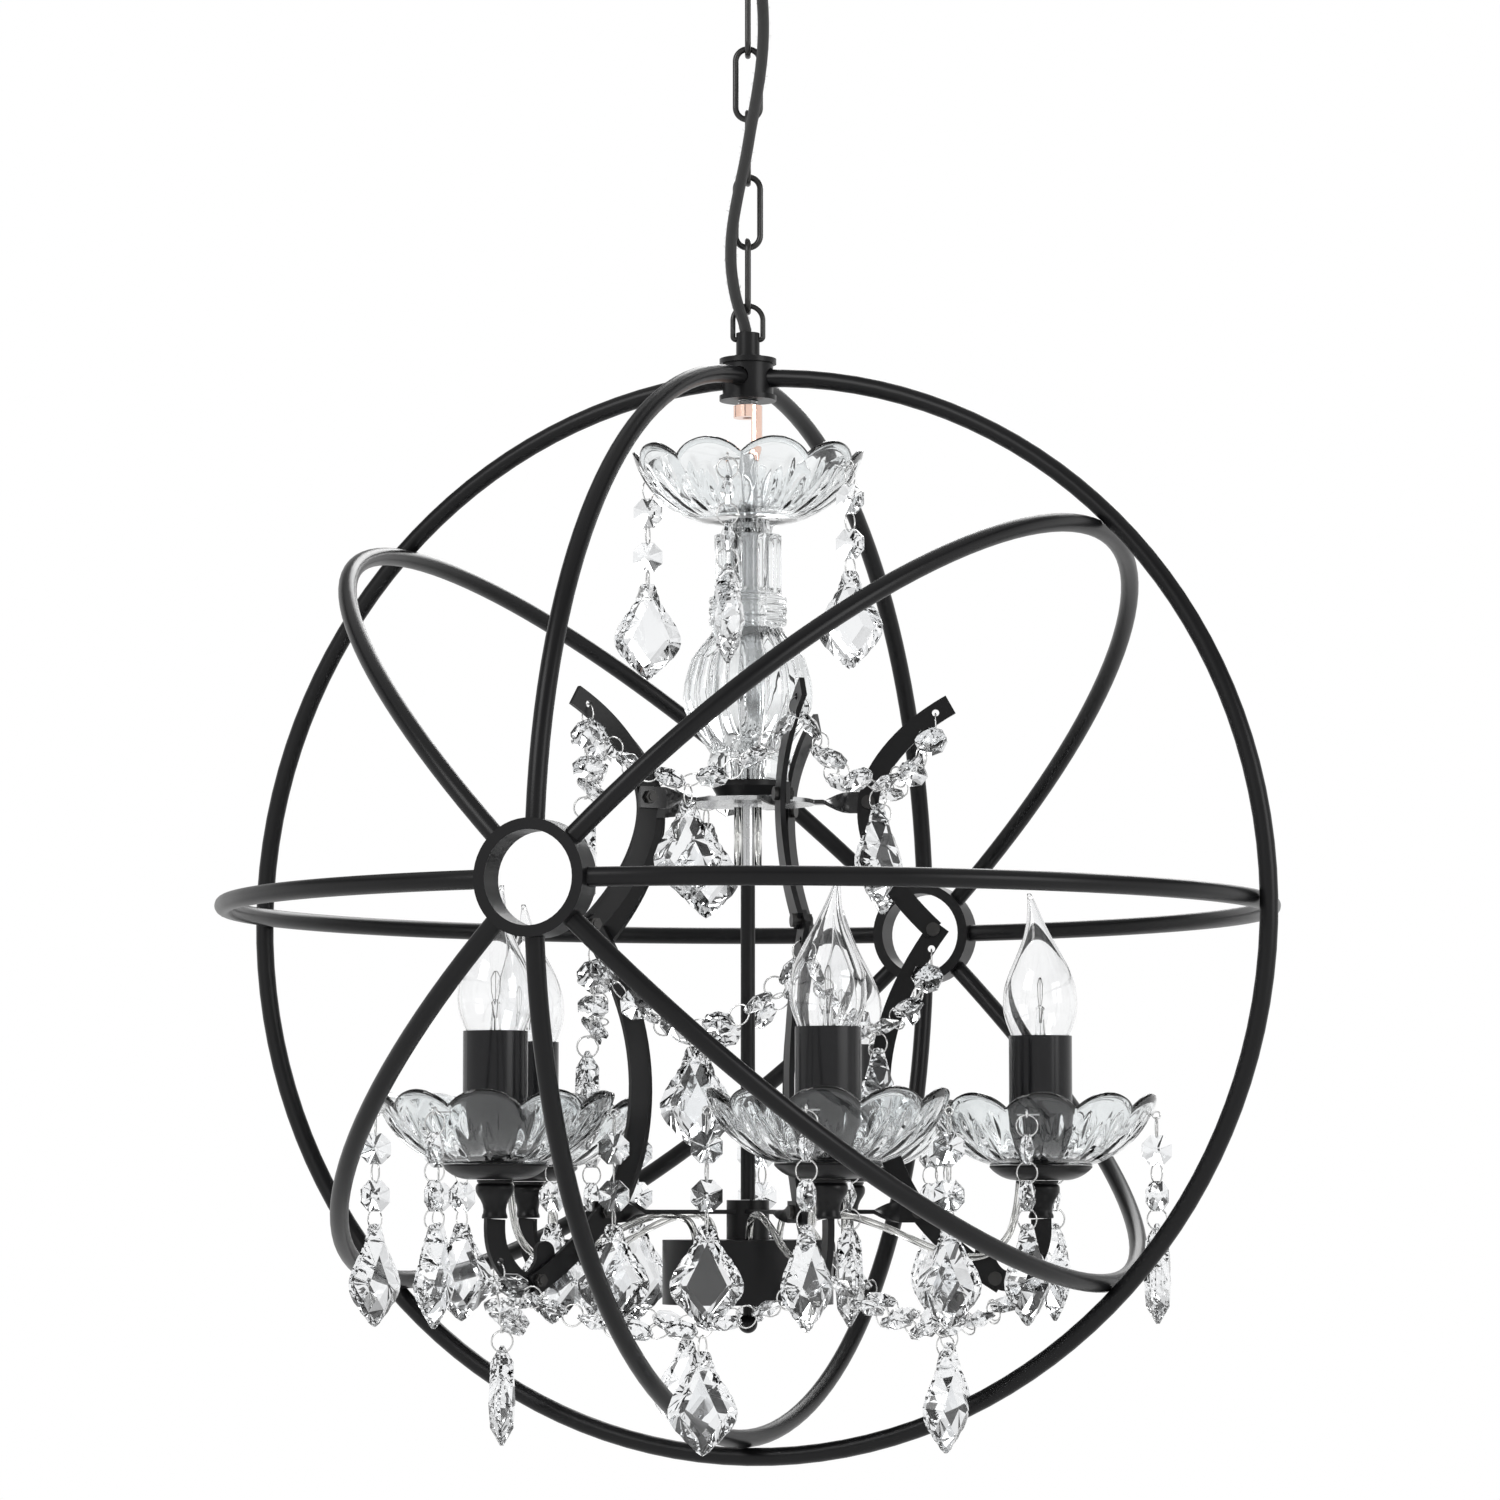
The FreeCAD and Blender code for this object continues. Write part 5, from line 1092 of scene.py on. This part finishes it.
stud_low, stud_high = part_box("threaded_stud")
stud_bottom, stud_top = stud_low.z / MM + ORB_DROP, stud_high.z / MM + ORB_DROP
print("stud from", round(stud_bottom, 1), "to", round(stud_top, 1))
STUD_RADIUS, STUD_PITCH = 4.8, 1.25
stud_mesh = thread_mesh("threaded_stud_cut", STUD_RADIUS, stud_bottom, stud_top, STUD_PITCH, zinc)
piece("threaded_stud_cut", stud_mesh, "orb", "zinc_steel", "threaded_stud")

# %% [markdown]
# ## Bulbs
# Clear flame-tip bulbs: a thin glass balloon whose tip bends aside, a screw cap, and inside
# a glass stem that carries two wires and a coiled filament. The balloon is a real shell with
# an inner and an outer wall, so it refracts as thin glass does.

# %% Bulb
BULB_OUTLINE = [
    (7.6, -18), (9.2, -13), (11.3, -8), (13.4, 0), (15.2, 4), (16.6, 8), (17.4, 12), (17.5, 15), (17.2, 20),
    (16.2, 25), (13.8, 31.5), (10.5, 38), (7.6, 44), (5.2, 50), (3.6, 55), (2.4, 60), (1.5, 64), (0.8, 66.6)]
STEM_OUTLINE = [
    (6.2, -16.6), (5.4, -14), (3.4, -9), (2.6, -4), (2.4, 2), (2.0, 7), (1.6, 11), (2.1, 13), (0.6, 14.4)]
BEND_START, BULB_BEND, BULB_TIP, GLASS_WALL = 28.0, 5.0, 67.0, 0.7
SLEEVE_TOP = -60.0
BULB_LEANS = [VIEW_TURN + math.radians(lean) for lean in (0, 180, 120, 240, 60)]


def bulb_ring(radius, height, lean, around=40):
    share = max(0.0, (height - BEND_START) / (BULB_TIP - BEND_START))
    aside = Vector((math.cos(lean), math.sin(lean), 0)) * (BULB_BEND * share ** 2 * MM)
    return [point + aside for point in circle_at(radius, height, around)]


def bulb_meshes(lean):
    levels = np.linspace(BULB_OUTLINE[0][1], BULB_OUTLINE[-1][1], 60)
    wide = np.interp(levels, [z for r, z in BULB_OUTLINE], [r for r, z in BULB_OUTLINE])
    wide = np.convolve(np.pad(wide, 2, "edge"), np.ones(5) / 5, "valid")
    rings = [bulb_ring(r, z, lean) for r, z in zip(wide, levels)]
    inner = [(r - GLASS_WALL, z) for r, z in zip(wide, levels) if r - GLASS_WALL > 0.4]
    shell = [skin("balloon_out", rings, bulb_glass)]
    hollow = skin("balloon_in", [bulb_ring(r, max(z, levels[0] + GLASS_WALL), lean) for r, z in inner],
                  bulb_glass)
    hollow.flip_normals()
    stem = skin("stem", [circle_at(r, z, 20) for r, z in STEM_OUTLINE], bulb_glass)
    side = Vector((math.cos(lean + 1.2), math.sin(lean + 1.2), 0))

    def bent(*spots):
        return [(side * x + Vector((0, 0, z))) * MM for x, z in spots]
    wires = [tube("lead_wire", bent((way * 0.7, 6), (way * 1.4, 13), (way * 3.2, 18), (way * 3.6, 24)),
                  0.35, tungsten, 6) for way in (-1, 1)]
    coil = [(side * (-3.6 + 7.2 * k / 60) + Vector((0, 0, 24 + 3.2 * math.sin(math.pi * k / 60)))
             + Vector((0.3 * math.cos(k * 1.6), 0.3 * math.sin(k * 1.6), 0))) * MM for k in range(61)]
    wires.append(tube("filament", coil, 0.22, tungsten, 5))
    support = tube("support", bent((0, 13.5), (0, 20), (0, 27)), 0.3, tungsten, 6)
    return shell + [hollow, stem, support] + wires


CAP_RADIUS, CAP_LOW, CAP_HIGH, CAP_PITCH, THREAD_HALF = 6.95, -42.0, -18.0, 2.8, 0.35


def cap_mesh(name):
    """The rolled screw cap and its contact."""
    foot = [(2.4, CAP_LOW), (3.2, CAP_LOW + 1.4), (5.6, CAP_LOW + 3.4)]
    rings = [circle_at(radius, height, 32) for radius, height in foot]
    for i in range(40):
        height = CAP_LOW + 4.6 + i * 0.36

        def wave(angle, height=height):
            climb = 2 * math.pi * (height / CAP_PITCH) - angle
            return CAP_RADIUS - THREAD_HALF + THREAD_HALF * math.sin(climb)
        rings.append(circle_at(wave, height, 32))
    rings += [circle_at(CAP_RADIUS, CAP_HIGH - 1, 32), circle_at(CAP_RADIUS, CAP_HIGH - 0.1, 32)]
    return skin(name, rings, zinc)


for number, (turn, lean) in enumerate(zip(ARM_TURNS, BULB_LEANS), 1):
    whole = joined(bulb_meshes(lean - turn) + [cap_mesh("cap")], f"bulb_{number}_clear")
    whole.transform(stand(turn, CANDLE_REACH, SLEEVE_TOP))
    piece(f"bulb_{number}_clear", whole, f"bulb_{number}", "bulb_glass", f"bulb_{number}")

# %% [markdown]
# ## Arm leads
# Each candle is fed by a clear twin lead that sags beside its arm, with two bright strands of
# wire in it. `tube` sweeps a round section along the smooth line, and the strands twist round
# each other inside. Two straight leads rise through the middle, where the cord comes down.

# %% Arm leads
LEAD_ROUTE = [
    (127, -3.6, -127.6), (126, -3.8, -141), (121, -4.6, -156), (108, -5.4, -164.5), (88, -6.2, -160),
    (66, -6.6, -149.5), (46, -6.6, -143), (33, -6.4, -143.5), (26, -6.3, -148), (25, -6.2, -154.7)]
LEAD_WIDTH, STRAND_WIDTH, STRAND_OFF, STRAND_TWIST = 3.4, 1.0, 0.75, 0.25
RISER_OFF, RISER_LOW, RISER_HIGH = 4.8, 16.2, 47.8


def lead_meshes():
    line = smooth_line("lead_line", [spot(*point) for point in LEAD_ROUTE], 10)
    points = points_of(line)
    bpy.data.objects.remove(line)
    found = [tube("clear_jacket", points, LEAD_WIDTH, clear_flex, 16)]
    for way in (0, math.pi):
        strand = []
        for k, (point, (across, over)) in enumerate(zip(points, steady_frames(points))):
            angle = way + STRAND_TWIST * k
            strand.append(point + (across * math.cos(angle) + over * math.sin(angle)) * (STRAND_OFF * MM))
        found.append(tube("strand", strand, STRAND_WIDTH, silver, 8))
    return found


risers = []
for way in (-1, 1):
    ends = [seen(way * RISER_OFF, 0, level) for level in (RISER_LOW, RISER_HIGH)]
    risers.append(tube("riser", ends, LEAD_WIDTH, clear_flex, 16))
    risers.append(tube("riser_strand", ends, STRAND_WIDTH, silver, 8))
lead = joined(lead_meshes(), "arm_lead")
leads = []
for turn in ARM_TURNS:
    copy = lead.copy()
    copy.transform(Matrix.Rotation(turn, 4, "Z"))
    leads.append(copy)
piece("arm_leads_clear", joined(leads + risers, "arm_leads_clear"), "orb", "clear_flex", "arm_wires")
